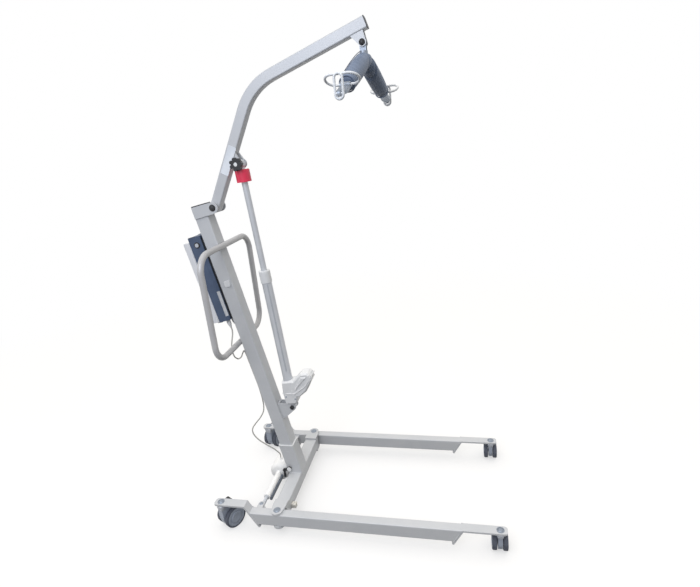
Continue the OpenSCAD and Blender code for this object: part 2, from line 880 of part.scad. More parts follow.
module caster_brake(trail, under, gap) {
    core_t = gap - 2 * core_clear;
    cheek_y = core_t / 2 + 0.6;
    top = under - caster_gap;
    cheek_t = 4;
    pedal_l = 14;
    color(black) translate([brake_at[0] + trail / 2, 0, top - brake_at[1]]) difference() {
        union() {
            for (side = [-1, 1]) translate([0, side * (cheek_y + cheek_t / 2), 0]) plate_xz(cheek_t) {
                circle(r = 6);
                polygon([[0, -3], [12, 2], [12, 7], [0, 6]]);
            }
            translate([10, 0, 2]) linear_extrude(height = 5)
                translate([pedal_l / 2, 0]) round_rect(pedal_l, 2 * (cheek_y + cheek_t), 4);
        }
        pin_y(brake_pin_r + run, 60);
    }
}

module near_front_caster() {
    place_caster(front_bolt, -1, near_front_steer)
        caster_body(front_d, front_trail, front_under, front_wheel_w, front_gap, false);
}
module near_front_hubs() {
    place_caster(front_bolt, -1, near_front_steer)
        caster_hubs(front_d, front_trail, front_wheel_w, front_gap);
}
module near_front_tyres() {
    place_caster(front_bolt, -1, near_front_steer)
        caster_tyres(front_d, front_trail, front_wheel_w, front_gap);
}
module far_front_caster() {
    place_caster(front_bolt, 1, far_front_steer)
        caster_body(front_d, front_trail, front_under, front_wheel_w, front_gap, false);
}
module far_front_hubs() {
    place_caster(front_bolt, 1, far_front_steer)
        caster_hubs(front_d, front_trail, front_wheel_w, front_gap);
}
module far_front_tyres() {
    place_caster(front_bolt, 1, far_front_steer)
        caster_tyres(front_d, front_trail, front_wheel_w, front_gap);
}
module near_rear_caster() {
    place_caster(-rear_bolt, -1, near_rear_steer)
        caster_body(rear_d, rear_trail, rear_under, rear_wheel_w, rear_gap, true);
}
module near_rear_hubs() {
    place_caster(-rear_bolt, -1, near_rear_steer) caster_hubs(rear_d, rear_trail, rear_wheel_w, rear_gap);
}
module near_rear_tyres() {
    place_caster(-rear_bolt, -1, near_rear_steer) caster_tyres(rear_d, rear_trail, rear_wheel_w, rear_gap);
}
module near_rear_brake() {
    place_caster(-rear_bolt, -1, near_rear_steer) caster_brake(rear_trail, rear_under, rear_gap);
}
module far_rear_caster() {
    place_caster(-rear_bolt, 1, far_rear_steer)
        caster_body(rear_d, rear_trail, rear_under, rear_wheel_w, rear_gap, true);
}
module far_rear_hubs() {
    place_caster(-rear_bolt, 1, far_rear_steer) caster_hubs(rear_d, rear_trail, rear_wheel_w, rear_gap);
}
module far_rear_tyres() {
    place_caster(-rear_bolt, 1, far_rear_steer) caster_tyres(rear_d, rear_trail, rear_wheel_w, rear_gap);
}
module far_rear_brake() {
    place_caster(-rear_bolt, 1, far_rear_steer) caster_brake(rear_trail, rear_under, rear_gap);
}

// Boom

boom_tail = 12;

bend_lap = 0.6;
bend_slack = 0.1;

// Bar bent like the boom; the bend's section is a shade smaller and laps into both straights
module boom_bar(w, r, over) {
    translate([-boom_tail - over, 0, 0]) along_x(boom_lower + boom_tail + over) round_rect(w, w, r);
    translate([boom_lower, 0, -boom_bend_r]) rotate([90, 0, 0]) rotate([0, 0, 90 - boom_bend - bend_lap])
        rotate_extrude(angle = boom_bend + 2 * bend_lap, $fn = 180) translate([boom_bend_r, 0])
            round_rect(w - bend_slack, w - bend_slack, r);
    translate([boom_lower, 0, -boom_bend_r]) rotate([0, boom_bend, 0]) translate([0, 0, boom_bend_r])
        along_x(boom_upper + over) round_rect(w, w, r);
}

module boom_tube() {
    inner = boom_w - 2 * boom_wall;
    color(paint) on_boom() difference() {
        union() {
            difference() {
                boom_bar(boom_w, corner_r, 0);
                boom_bar(inner, corner_r - boom_wall, 1);
            }
            pin_y(boss_r, boss_l);
        }
        pin_y(boom_pin_r + run, 2 * boss_l);
    }
}

module ear_pair() {
    for (side = [-1, 1]) translate([0, side * (ear_in + ear_t / 2), 0]) plate_xz(ear_t) children();
}

module boom_ears() {
    hanger_r = 14;
    at = [boom_upper - hanger_back, -hanger_drop];
    color(paint) {
        on_boom() ear_pair() difference() {
            union() {
                translate([lift_top_along, -lift_top_drop]) circle(r = ear_r);
                polygon([[lift_top_along - 26, -boom_half], [lift_top_along - ear_r, -lift_top_drop],
                    [lift_top_along + ear_r, -lift_top_drop], [lift_top_along + 34, -boom_half]]);
            }
            translate([lift_top_along, -lift_top_drop]) circle(r = lift_pin_r + run);
        }
        on_boom_end() ear_pair() difference() {
            union() {
                translate(at) circle(r = hanger_r);
                polygon([[at[0] - 30, -boom_half], [at[0] - hanger_r + 1, at[1] - 3],
                    [at[0] + hanger_r, at[1]],
                    [at[0] + hanger_r + 3, -boom_half]]);
            }
            translate(at) circle(r = lift_pin_r + run);
        }
    }
}

module boom_end_cap() {
    cap_t = 3;
    plug = boom_w - 2 * boom_wall - 2 * seat;
    color(slate) on_boom_end() translate([boom_upper, 0, 0]) {
        along_x(cap_t) round_rect(boom_w, boom_w, corner_r);
        translate([-14, 0, 0]) along_x(14 + eps) difference() {
            round_rect(plug, plug, corner_r - 2);
            round_rect(plug - 5, plug - 5, 2);
        }
    }
}

module hanger_pin() {
    cap_r = 11;
    cap_h = 6;
    end_y = ear_in + ear_t;
    color(black) translate(hanger) {
        pin_y(lift_pin_r, 2 * end_y);
        for (side = [-1, 1])
            translate([0, side * end_y, 0]) rotate([-side * 90, 0, 0]) dome(cap_r, cap_h);
    }
}

module star_knob() {
    lobes = 7;
    knob_r = 19;
    lobe_r = 7;
    knob_t = 16;
    face = ear_in + ear_t + pass;
    collar = lower_d / 2 + 2 - face;
    color(black) translate(lift_top) {
        pin_y(lift_pin_r, 2 * face + 2);
        translate([0, -face, 0]) rotate([90, 0, 0]) {
            cylinder(r = 11, h = collar + 1);
            translate([0, 0, collar]) linear_extrude(height = knob_t) {
                circle(r = knob_r);
                for (k = [0:lobes - 1]) rotate(k * 360 / lobes) translate([knob_r, 0])
                    circle(r = lobe_r, $fn = 32);
            }
        }
        translate([0, face, 0]) rotate([-90, 0, 0]) cylinder(r = 11, h = 9, $fn = 6);
    }
}

// Lift actuator

module lift_rod() {
    neck_r = 12;
    color(steel) on_lift() difference() {
        union() {
            translate([0, 0, rod_low]) cylinder(r = rod_r, h = lift_l - rod_low - eye_r + 4);
            translate([0, 0, lift_l]) pin_y(eye_r, rod_eye_t);
            translate([0, 0, lower_top]) cylinder(r = neck_r, h = lift_l - lower_top);
        }
        translate([0, 0, lift_l]) pin_y(lift_pin_r + run, 2 * rod_eye_t);
        translate([0, 0, rod_low + nut_l])
            cylinder(r = rod_r - rod_wall, h = lower_top - rod_low - nut_l - 10);
        translate([0, 0, rod_low - 1]) cylinder(r = spindle_r + run, h = nut_l + 2);
    }
}

module lowering_collar() {
    rim = 2;
    color(red) on_lift() translate([0, 0, lower_top - lower_l]) difference() {
        union() {
            cylinder(r = lower_d / 2, h = lower_l - rim);
            cylinder(r = lower_d / 2 - rim, h = lower_l);
        }
        translate([0, 0, -1]) cylinder(r = rod_r + run, h = lower_l + 2);
    }
}

module lift_cylinder() {
    tube_low = 30;
    color([0.80, 0.82, 0.85]) on_lift() difference() {
        union() {
            translate([0, 0, tube_low]) cylinder(r = cylinder_r, h = cylinder_top - ring_l / 2 - tube_low);
            pin_y(eye_r - 2, foot_eye_t);
            translate([-11, -foot_eye_t / 2, 0]) cube([22, foot_eye_t, tube_low + 6]);
        }
        translate([0, 0, gear_top - 10]) cylinder(r = cylinder_r - cylinder_wall, h = cylinder_top);
        pin_y(lift_pin_r + 0.4, 2 * foot_eye_t);
    }
}

module guide_ring() {
    lip = 6;
    color(white) on_lift() translate([0, 0, cylinder_top - ring_l]) difference() {
        union() {
            cylinder(r = cylinder_r + ring_wall, h = ring_l - 3);
            cylinder(r = cylinder_r + ring_wall - 2, h = ring_l);
        }
        translate([0, 0, -1]) cylinder(r = cylinder_r + seat / 2, h = ring_l / 2 + 1 + seat);
        translate([0, 0, -1]) cylinder(r = rod_r + run, h = ring_l + 2);
        translate([0, 0, -1]) cylinder(r = cylinder_r - lip, h = ring_l - lip);
    }
}

// Outlines of the gear housing's foot and of its motor pod, in the actuator frame
gear_foot = [[-25, gear_low + 6], [-20, gear_low], [26, gear_low], [33, gear_low + 12], [42, 62],
    [38, gear_top],
    [-24, gear_top - 4], [-28, 75]];
gear_pod = [[8, 62], [46, 54], [86, 82], [122, 140], [116, 166], [106, 174], [76, 174], [18, 124]];
gear_ledge = [[-30, 73], [31, 73], [91, 112], [125, 158], [122, 162], [88, 116], [30, 77], [-30, 77]];

function middle(points) = [for (k = [0, 1]) let (v = [for (p = points) p[k]]) (min(v) + max(v)) / 2];
function shrunk(points, by) = let (c = middle(points))
    [for (p = points) let (d = p - c) c + d * (1 - by / norm(d))];

// A prism across Y with softened long edges
module soft_prism(points, half, soft) {
    hull() {
        plate_xz(2 * (half - soft)) polygon(points);
        plate_xz(2 * half) polygon(shrunk(points, soft));
    }
}

module gear_housing() {
    half = gear_w / 2;
    color(white) on_lift() difference() {
        union() {
            soft_prism(gear_foot, half - 2, 7);
            soft_prism(gear_pod, half, 8);
            plate_xz(2 * (half - 5)) polygon(gear_ledge);
        }
        plate_xz(2 * (half - 2 - 2 * gear_wall)) polygon(shrunk(gear_foot, 8));
        plate_xz(2 * (half - 2 * gear_wall)) polygon(shrunk(gear_pod, 9));
        translate([0, 0, -10]) cylinder(r = cylinder_r + seat, h = 400);
    }
}

module lift_motor() {
    half = gear_w / 2 - 2 * gear_wall - seat;
    color(steel) on_lift() translate(motor_at) rotate([0, motor_turn, 0]) {
        cylinder(r = motor_r, h = motor_l, center = true);
        cylinder(r = motor_r / 3, h = motor_l + 14, center = true);
        cube([16, 2 * half, 30], center = true);
    }
}

module lift_spindle() {
    color(steel) on_lift() translate([0, 0, gear_top - 10]) {
        cylinder(r = cylinder_r - cylinder_wall - seat, h = 12);
        cylinder(r = spindle_r, h = cylinder_top - gear_top - 20);
    }
}

// Leg actuator, lying along Y behind the cross-member

// Quarter round at an end of the motor's profile
module egg_edge(r, edge, y, dir) {
    intersection() {
        translate([r - edge, y]) circle(r = edge);
        translate([r - edge, dir > 0 ? y : y - edge]) square([edge, edge]);
    }
}

module leg_actuator_body() {
    r = spread_d / 2;
    bore_from = spread_tube_near - 1;
    egg_r = motor_d / 2;
    egg_front = 18;
    egg_back = 30;
    motor_l_y = motor_to - motor_from - egg_front - egg_back;
    bore_l = motor_from - bore_from - egg_front;
    color(white) translate([-spread_x, 0, spread_z]) difference() {
        union() {
            translate([0, spread_tube_near, 0]) rotate([-90, 0, 0])
                cylinder(r = r, h = spread_pin_y - 18 - spread_tube_near);
            rotate([-90, 0, 0]) rotate_extrude() {
                translate([0, motor_from]) square([egg_r - egg_front, egg_front]);
                translate([0, motor_from + egg_front]) square([egg_r, motor_l_y]);
                translate([0, motor_to - egg_back]) square([egg_r - egg_back, egg_back]);
                egg_edge(egg_r, egg_front, motor_from + egg_front, -1);
                egg_edge(egg_r, egg_back, motor_to - egg_back, 1);
            }
            translate([0, cable_in_y, 0]) cylinder(r = gland_r, h = egg_r + gland_h);
            translate([0, spread_pin_y, -spread_eye_t / 2]) {
                cylinder(r = 12, h = spread_eye_t);
                translate([-8, -24, 0]) cube([16, 24, spread_eye_t]);
            }
        }
        translate([0, spread_pin_y, -spread_eye_t])
            cylinder(r = spread_pin_r + open_play, h = 2 * spread_eye_t);
        translate([0, bore_from, 0]) rotate([-90, 0, 0]) cylinder(r = 9 + run, h = bore_l);
    }
}

// Rail along the tube's front
module guide_bar() {
    rail_t = 10;
    rail_h = 18;
    from = spread_tube_near + 4;
    r = spread_d / 2;
    color(slate) translate([-spread_x, 0, spread_z]) difference() {
        translate([r - 4, from, -rail_h - 2]) cube([rail_t, motor_from - 6 - from, rail_h]);
        translate([0, from - 1, 0]) rotate([-90, 0, 0]) cylinder(r = r + seat, h = motor_from - from);
    }
}

module leg_actuator_rod() {
    rod_in = 70;
    color(steel) translate([-spread_x, 0, spread_z]) difference() {
        union() {
            translate([0, -spread_pin_y + 8, 0]) rotate([-90, 0, 0])
                cylinder(r = 9, h = spread_pin_y - 8 + spread_tube_near + rod_in);
            translate([0, -spread_pin_y, 0]) cylinder(r = 12.5, h = spread_eye_t, center = true);
        }
        translate([0, -spread_pin_y, -spread_eye_t])
            cylinder(r = spread_pin_r + open_play, h = 2 * spread_eye_t);
    }
}

// Hanger and spreader bar

module hanger_link() {
    link_r = 11;
    color(steel) difference() {
        translate(hanger) {
            for (side = [-1, 1]) translate([0, side * (yoke_in + yoke_t / 2), 0]) plate_xz(yoke_t) {
                circle(r = link_r);
                translate([-link_r, -yoke_block_z - eps]) square([2 * link_r, yoke_block_z]);
            }
            translate([0, 0, -yoke_block_z - yoke_block_h])
                cylinder(r = yoke_in + yoke_t + 2, h = yoke_block_h);
        }
        translate(hanger) pin_y(lift_pin_r + run, 100);
        translate([hanger.x, 0, hanger.z - 60]) cylinder(r = swivel_r + run, h = 60);
    }
}

module spreader_bar() {
    head_h = 6;
    stem_top = hanger.z - yoke_block_z + seat;
    boss_h = 12;
    tongue_h = hook_t - 1;
    color(steel) {
        on_spreader() {
            translate([0, 0, -bar_r]) cylinder(r = bar_r + 2, h = bar_r + boss_h);
            cylinder(r = swivel_r, h = stem_top - apex_z + head_h);
            translate([0, 0, stem_top - apex_z]) cylinder(r = yoke_in - 0.6, h = head_h);
        }
        for (side = [-1, 1]) on_arm(side) {
            rotate([0, 90, 0]) cylinder(r = bar_r, h = arm_l - 6);
            difference() {
                union() {
                    translate([arm_l + (plate_reach - plate_in) / 2, 0, -hook_t / 2])
                        linear_extrude(height = hook_t) round_rect(plate_reach + plate_in, plate_w, 10);
                    plate_xz(hook_t) {
                        translate([arm_l + plate_reach / 2, -tongue_h / 2])
                            square([gate_along - arm_l - plate_reach / 2, tongue_h]);
                        translate([gate_along, gate_up]) circle(r = gate_pin_r + 6);
                    }
                    loop_foot() pin_y(loop_wire / 2 + 5, plate_w);
                }
                loop_foot() pin_y(loop_wire / 2 + seat, 2 * plate_w);
                translate([gate_along, 0, gate_up]) pin_y(gate_pin_r + run, 2 * plate_w);
            }
        }
    }
}

// The loops lean outwards from the upright at each arm's end
module loop_lie() {
    translate([loop_along, 0, loop_up]) rotate([0, loop_lean - arm_fall, 0]) children();
}

module loop_foot() {
    loop_lie() translate([0, 0, -(loop_h - loop_wire) / 2]) children();
}

// Racetrack of round wire in the local YZ plane, l long in Y and h high in Z
module wire_loop(l, h, d) {
    r = (h - d) / 2;
    half = l / 2 - d / 2 - r;
    for (side = [-1, 1]) {
        translate([0, 0, side * r]) pin_y(d / 2, 2 * half);
        translate([0, side * half, 0]) rotate([0, 90, 0]) rotate([0, 0, side > 0 ? 0 : 180])
            rotate_extrude(angle = 180) translate([r, 0]) circle(r = d / 2);
    }
}

module sling_loops() {
    color(white) for (side = [-1, 1]) on_arm(side) loop_lie() wire_loop(loop_l, loop_h, loop_wire);
}

// Gate: a narrow upright wire loop on a pin through the hook plate's tip
module hook_gate(side) {
    color(white) on_arm(side) translate([gate_along, 0, gate_up]) rotate([0, -arm_fall, 0]) {
        pin_y(gate_pin_r, gate_w - loop_wire);
        translate([0, 0, gate_rise]) rotate([90, 0, 0]) wire_loop(gate_l, gate_w, loop_wire);
    }
}

module near_hook_gate() { hook_gate(-1); }
module far_hook_gate() { hook_gate(1); }

// Padded cover: a swept tube that swells along each arm and draws in at its ends and its middle
pad_rings = 26;
pad_sides = 16;
function pad_path(t) = let (s = t * spreader_half, soft = 30)
    [0, s, -sqrt(s * s + soft * soft) * spreader_drop / spreader_half];
function pad_swell(t) = let (a = abs(t))
    pad_r * (0.92 + 0.08 * sin(180 * a) - 0.16 * pow(max(0, (a - 0.8) / 0.2), 2));
function ring_at(p, dir, r, sides) = let (d = dir / norm(dir), e = cross(d, [1, 0, 0]))
    [for (k = [0:sides - 1]) p + r * (cos(k * 360 / sides) * [1, 0, 0] + sin(k * 360 / sides) * e)];

// A closed tube through rings of points
module skin(rings) {
    n = len(rings[0]);
    m = len(rings);
    points = [for (ring = rings) each ring];
    sides = [for (i = [0:m - 2], k = [0:n - 1]) let (a = i * n + k, b = i * n + (k + 1) % n)
        each [[a, a + n, b + n], [a, b + n, b]]];
    ends = [[for (k = [0:n - 1]) k], [for (k = [n - 1:-1:0]) (m - 1) * n + k]];
    polyhedron(points = points, faces = concat(sides, ends));
}

module spreader_pad() {
    ts = [for (k = [0:pad_rings - 1]) -1 + 2 * k / (pad_rings - 1)];
    step = 0.01;
    color(slate) difference() {
        on_spreader() skin([for (t = ts)
            ring_at(pad_path(t), pad_path(t + step) - pad_path(t - step), pad_swell(t), pad_sides)]);
        for (side = [-1, 1]) on_arm(side) rotate([0, 90, 0]) cylinder(r = bar_r + seat, h = 2 * arm_l);
        on_spreader() cylinder(r = pad_hole_r, h = 200);
        on_spreader() translate([0, 0, -bar_r - seat]) cylinder(r = bar_r + 2 + seat, h = 100);
        for (side = [-1, 1]) on_arm(side)
            translate([arm_l - plate_in - pass, -plate_w / 2 - pass, -hook_t / 2 - pass])
                cube([arm_l, plate_w + 2 * pass, hook_t + 2 * pass]);
    }
}

// Cable from the control box to the leg motor, swept along its own points
cable_d = 6;
plug_tip = mast_at(housing_u + plug_spots[0][0], box_low - plug_l - 12) + [0, plug_spots[0][1], 0];
gland_top = [-spread_x, cable_in_y, spread_z + motor_d / 2 + gland_h + pass];
cable_route = concat([plug_tip, plug_tip + [3, 0, -14]],
    [[-195, -28, 840], [-198, -38, 815], [-200, -46, 790], [-200, -48, 760], [-195, -44, 735],
    [-186, -34, 722], [-177, -22, 726], [-171, -12, 742], [-166, -6, 748], [-160, -4, 730], [-154, -4, 700],
    [-146, -4, 660], [-138, -4, 620], [-130, -4, 580], [-124, -4, 540], [-120, -4, 500], [-120, -4, 460],
    [-126, -6, 430], [-144, -10, 400], [-170, -16, 370], [-188, -20, 345], [-190, -22, 320], [-180, -20, 295],
    [-164, -14, 270], [-146, -4, 245], [-128, 6, 222], [-112, 16, 200], [-101, 25, 178]],
    [gland_top + [0, 0, 20], gland_top]);
module leg_motor_cable() {
    n = len(cable_route);
    color([0.75, 0.75, 0.74]) skin([for (i = [0:n - 1])
        cable_ring(cable_route[i], cable_route[min(n - 1, i + 1)] - cable_route[max(0, i - 1)])]);
}
function cable_ring(p, dir) =
    let (d = dir / norm(dir), f = cross(d, [0, 1, 0]), e = f / norm(f), g = cross(d, e))
    [for (k = [0:7]) p + cable_d / 2 * (cos(k * 45) * e + sin(k * 45) * g)];

cross_member();
mast_socket();
mast();
mast_top_cap();
mast_side_caps();
head_bracket();
boom_pivot_pin();
push_handle();
lift_bracket();
lift_bracket_pins();
control_bracket();
control_housing();
control_board();
lead_plugs();
guide_bar();
mast_lock_lever();
battery_case();
battery_cells();
battery_release();
near_leg_tube();
near_leg_plates();
near_leg_bolts();
far_leg_tube();
far_leg_plates();
far_leg_bolts();
near_front_caster();
near_front_hubs();
near_front_tyres();
near_rear_caster();
near_rear_hubs();
near_rear_tyres();
near_rear_brake();
far_front_caster();
far_front_hubs();
far_front_tyres();
far_rear_caster();
far_rear_hubs();
far_rear_tyres();
far_rear_brake();
boom_tube();
boom_ears();
boom_end_cap();
hanger_pin();
star_knob();
lift_rod();
lowering_collar();
lift_cylinder();
guide_ring();
gear_housing();
lift_motor();
lift_spindle();
leg_actuator_body();
leg_actuator_rod();
hanger_link();
spreader_bar();
spreader_pad();
sling_loops();
near_hook_gate();
far_hook_gate();
leg_motor_cable();
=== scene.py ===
import json
import math

import bmesh
import bpy
from mathutils import Matrix, Vector


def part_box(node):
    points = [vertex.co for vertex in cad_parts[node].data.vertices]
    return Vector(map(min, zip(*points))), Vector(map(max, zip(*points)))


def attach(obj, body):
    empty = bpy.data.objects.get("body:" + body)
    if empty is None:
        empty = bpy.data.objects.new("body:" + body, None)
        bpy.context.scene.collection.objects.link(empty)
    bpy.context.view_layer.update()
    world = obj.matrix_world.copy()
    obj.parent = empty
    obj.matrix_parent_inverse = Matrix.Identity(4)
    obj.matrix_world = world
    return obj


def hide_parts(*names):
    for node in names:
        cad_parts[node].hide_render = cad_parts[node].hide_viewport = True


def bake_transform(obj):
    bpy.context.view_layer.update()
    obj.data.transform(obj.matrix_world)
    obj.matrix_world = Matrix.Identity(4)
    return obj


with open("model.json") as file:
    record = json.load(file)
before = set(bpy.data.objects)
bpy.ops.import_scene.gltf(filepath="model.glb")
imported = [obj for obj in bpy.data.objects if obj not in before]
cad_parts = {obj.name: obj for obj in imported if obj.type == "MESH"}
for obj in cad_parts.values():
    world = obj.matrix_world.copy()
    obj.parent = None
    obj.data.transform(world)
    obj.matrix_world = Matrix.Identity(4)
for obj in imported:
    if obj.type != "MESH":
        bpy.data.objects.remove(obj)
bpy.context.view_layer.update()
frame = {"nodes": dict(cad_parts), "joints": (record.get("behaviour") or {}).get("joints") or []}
nodes = frame["nodes"]
joints = {j["name"]: j for j in frame["joints"]}
bpy.ops.object.select_all(action='DESELECT')
mm = 0.001
print("frame loaded:", len(nodes), "nodes")


# places that the frame gives
def jointPlace(name):
    return Vector(joints[name]["pos_m"])


def boxMiddle(node):
    low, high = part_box(node)
    return (low + high) / 2


def onSurface(node, start, toward):
    # the point where a straight line first meets a node, or nothing
    hit, place, normal, face = nodes[node].ray_cast(Vector(start), Vector(toward).normalized())
    return place if hit else None


mastUp = Vector(joints["battery_lift"]["axis"])
mastLean = math.atan2(-mastUp.x, mastUp.z)
mastFoot = Vector((0, 0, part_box("mast_socket")[0].z))
boomPivot = jointPlace("boom_lift")
liftTop = jointPlace("rod_pivot")
liftFoot = boxMiddle("lift_bracket_pins")
liftTilt = math.atan2(liftTop.x - liftFoot.x, liftTop.z - liftFoot.z)
swivel = jointPlace("spreader_turn")
gateAxis = Vector(joints["far_gate_swing"]["axis"])
spreaderTurn = math.atan2(-gateAxis.y, -gateAxis.x)
boomRise = math.radians(62.3)        # slope of the boom's lower half at rest
boomFrame = Matrix.Translation(boomPivot) @ Matrix.Rotation(-boomRise, 4, 'Y')
mastFrame = Matrix.Translation(mastFoot) @ Matrix.Rotation(-mastLean, 4, 'Y')
liftFrame = Matrix.Translation(liftFoot) @ Matrix.Rotation(liftTilt, 4, 'Y')
spreaderFrame = Matrix.Translation(swivel) @ Matrix.Rotation(spreaderTurn, 4, 'Z')
toNear = Matrix.Rotation(math.radians(90), 4, 'X')     # turns what faces up to the near side


# camera at the photograph's place, found by matching the tubes' edges
camera = {
    "place": (0.7885, -1.7492, 1.6214),
    "right": (0.9797, 0.1824, -0.0829),
    "down": (-0.0184, -0.3304, -0.9437),
    "focalPixels": 460.9,
    "middlePixels": (364.7, 292.0),
    "imagePixels": (700, 587),
}


def addCamera(c):
    wide, high = c["imagePixels"]
    right = Vector(c["right"]).normalized()
    up = -Vector(c["down"])
    up = (up - right * up.dot(right)).normalized()
    back = right.cross(up)
    turn = Matrix((right, up, back)).transposed().to_4x4()
    data = bpy.data.cameras.new("photoCamera")
    data.sensor_width = 36
    data.lens = c["focalPixels"] / wide * data.sensor_width
    data.shift_x = (wide / 2 - c["middlePixels"][0]) / wide
    data.shift_y = (c["middlePixels"][1] - high / 2) / wide
    data.clip_end = 100
    obj = bpy.data.objects.new("photoCamera", data)
    bpy.context.scene.collection.objects.link(obj)
    obj.matrix_world = Matrix.Translation(c["place"]) @ turn
    bpy.context.scene.camera = obj


addCamera(camera)
print("camera placed")


# small helpers for modelling by operators
def active(obj):
    bpy.ops.object.select_all(action='DESELECT')
    obj.select_set(True)
    bpy.context.view_layer.objects.active = obj


def named(name):
    obj = bpy.context.active_object
    obj.name = name
    obj.data.name = name
    return obj


def editMode(obj, mode='FACE'):
    active(obj)
    bpy.ops.object.mode_set(mode='EDIT')
    bpy.ops.mesh.select_mode(type=mode)
    bpy.ops.mesh.select_all(action='DESELECT')


def objectMode():
    bpy.ops.object.mode_set(mode='OBJECT')


def pickFaces(obj, test):
    # edit mode on, with the faces selected whose middle and normal pass the test
    editMode(obj)
    mesh = bmesh.from_edit_mesh(obj.data)
    for face in mesh.faces:
        face.select_set(test(face.calc_center_median(), face.normal))
    mesh.select_flush_mode()
    bmesh.update_edit_mesh(obj.data)


def pickEdges(obj, test):
    editMode(obj, 'EDGE')
    mesh = bmesh.from_edit_mesh(obj.data)
    for edge in mesh.edges:
        a, b = edge.verts
        edge.select_set(test(a.co, b.co))
    mesh.select_flush_mode()
    bmesh.update_edit_mesh(obj.data)


def bevelled(obj, width, segments=2, angle=30):
    active(obj)
    mod = obj.modifiers.new("edges", 'BEVEL')
    mod.width = width
    mod.segments = segments
    mod.limit_method = 'ANGLE'
    mod.angle_limit = math.radians(angle)
    bpy.ops.object.modifier_apply(modifier=mod.name)


def placed(obj, matrix):
    # the place goes into the mesh, and the object stays at the origin
    obj.data.transform(matrix @ obj.matrix_basis)
    obj.matrix_basis = Matrix.Identity(4)
    if matrix.determinant() < 0:
        obj.data.flip_normals()
    return obj


def copied(obj, name, matrix):
    twin = obj.copy()
    twin.data = obj.data.copy()
    twin.name = name
    twin.data.name = name
    bpy.context.scene.collection.objects.link(twin)
    return placed(twin, matrix)


def block(name, size, soft, matrix):
    # a cube of the given size in mm with soft edges
    bpy.ops.object.select_all(action='DESELECT')
    bpy.ops.mesh.primitive_cube_add(size=1)
    obj = named(name)
    placed(obj, Matrix.Diagonal((*[side * mm for side in size], 1)))
    bevelled(obj, soft * mm, segments=3)
    return placed(obj, matrix)


roundPiece = 60                      # degrees up to which an edge of a round piece stays smooth


def done(obj, body, material, angle=35):
    active(obj)
    bpy.ops.object.shade_smooth_by_angle(angle=math.radians(angle))
    obj.data.materials.clear()
    obj.data.materials.append(material)
    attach(obj, body)


# one function adds a node, sets it and links it
def addNode(tree, kind, settings=(), links=(), **properties):
    node = tree.nodes.new(kind)
    for key, value in properties.items():
        setattr(node, key, value)
    for socket, value in dict(settings).items():
        node.inputs[socket].default_value = value
    for socket, source in dict(links).items():
        tree.links.new(source, node.inputs[socket])
    return node


def linear(hexText):
    channels = [int(hexText[k:k + 2], 16) / 255 for k in (1, 3, 5)]
    return tuple(c / 12.92 if c <= 0.04045 else ((c + 0.055) / 1.055) ** 2.4 for c in channels) + (1,)


def perMetre(sizeMm):
    return 1 / (sizeMm * mm)


def coat(weight, roughness):
    return {"Coat Weight": weight, "Coat Roughness": roughness}


def finishMaterial(name, colour, shade, roughness, grainMm, bumpMm, blotchMm=90, roughSpread=0.08,
                   **shader):
    # base colour drifts softly between colour and shade, and a grain breaks up the gloss and the normal;
    # the grain is drawn coarser than life, because the real one is too fine to show
    material = bpy.data.materials.new(name)
    material.use_nodes = True
    tree = material.node_tree
    tree.nodes.clear()
    place = addNode(tree, "ShaderNodeTexCoord").outputs["Object"]
    blotch = addNode(tree, "ShaderNodeTexNoise",
                     {"Scale": perMetre(blotchMm), "Detail": 4, "Roughness": 0.6}, {"Vector": place})
    grain = addNode(tree, "ShaderNodeTexNoise",
                    {"Scale": perMetre(grainMm), "Detail": 3}, {"Vector": place})
    drift = addNode(tree, "ShaderNodeMapRange",
                    {"From Min": 0.35, "From Max": 0.7}, {"Value": blotch.outputs["Fac"]})
    mix = addNode(tree, "ShaderNodeMix", {6: linear(colour), 7: linear(shade)},
                  {0: drift.outputs["Result"]}, data_type='RGBA')
    gloss = addNode(tree, "ShaderNodeMapRange",
                    {"From Min": 0.3, "From Max": 0.7,
                     "To Min": roughness - roughSpread, "To Max": roughness + roughSpread},
                    {"Value": grain.outputs["Fac"]})
    bump = addNode(tree, "ShaderNodeBump",
                   {"Strength": 0.35, "Distance": bumpMm * mm}, {"Height": grain.outputs["Fac"]})
    surface = addNode(tree, "ShaderNodeBsdfPrincipled", shader,
                      {"Base Color": mix.outputs[2], "Roughness": gloss.outputs["Result"],
                       "Normal": bump.outputs["Normal"]})
    addNode(tree, "ShaderNodeOutputMaterial", (), {"Surface": surface.outputs["BSDF"]})
    return material


# powder-coated mild steel: a satin skin with a faint orange peel, really about 1 mm
silverPowderCoat = finishMaterial(
    "silverPowderCoat", "#cacccf", "#c3c6ca", roughness=0.42, grainMm=4, bumpMm=0.06, blotchMm=160,
    roughSpread=0.06, Metallic=0.12, **coat(0.12, 0.3))
# the same coat on the handle, a little darker and glossier, with smaller blotches
handlePowderCoat = finishMaterial(
    "handlePowderCoat", "#bebebf", "#b5b5b7", roughness=0.38, grainMm=4, bumpMm=0.06, blotchMm=70,
    roughSpread=0.08, Metallic=0.15, **coat(0.15, 0.25))
# a darker coat on the guide bar
darkPowderCoat = finishMaterial(
    "darkPowderCoat", "#6d7683", "#5f6874", roughness=0.45, grainMm=4, bumpMm=0.1, blotchMm=60)
# zinc-plated steel: bright with a cool cast, rolled grain
zincSteel = finishMaterial(
    "zincSteel", "#a0a7b1", "#929aa5", roughness=0.46, grainMm=3, bumpMm=0.06, blotchMm=40,
    roughSpread=0.1, Metallic=0.7)
# chromed rod and knob insert: mirror-like, with faint polishing haze
polishedChrome = finishMaterial(
    "polishedChrome", "#dfe2e6", "#cfd3d8", roughness=0.16, grainMm=5, bumpMm=0.02, blotchMm=30,
    roughSpread=0.05, Metallic=1.0)
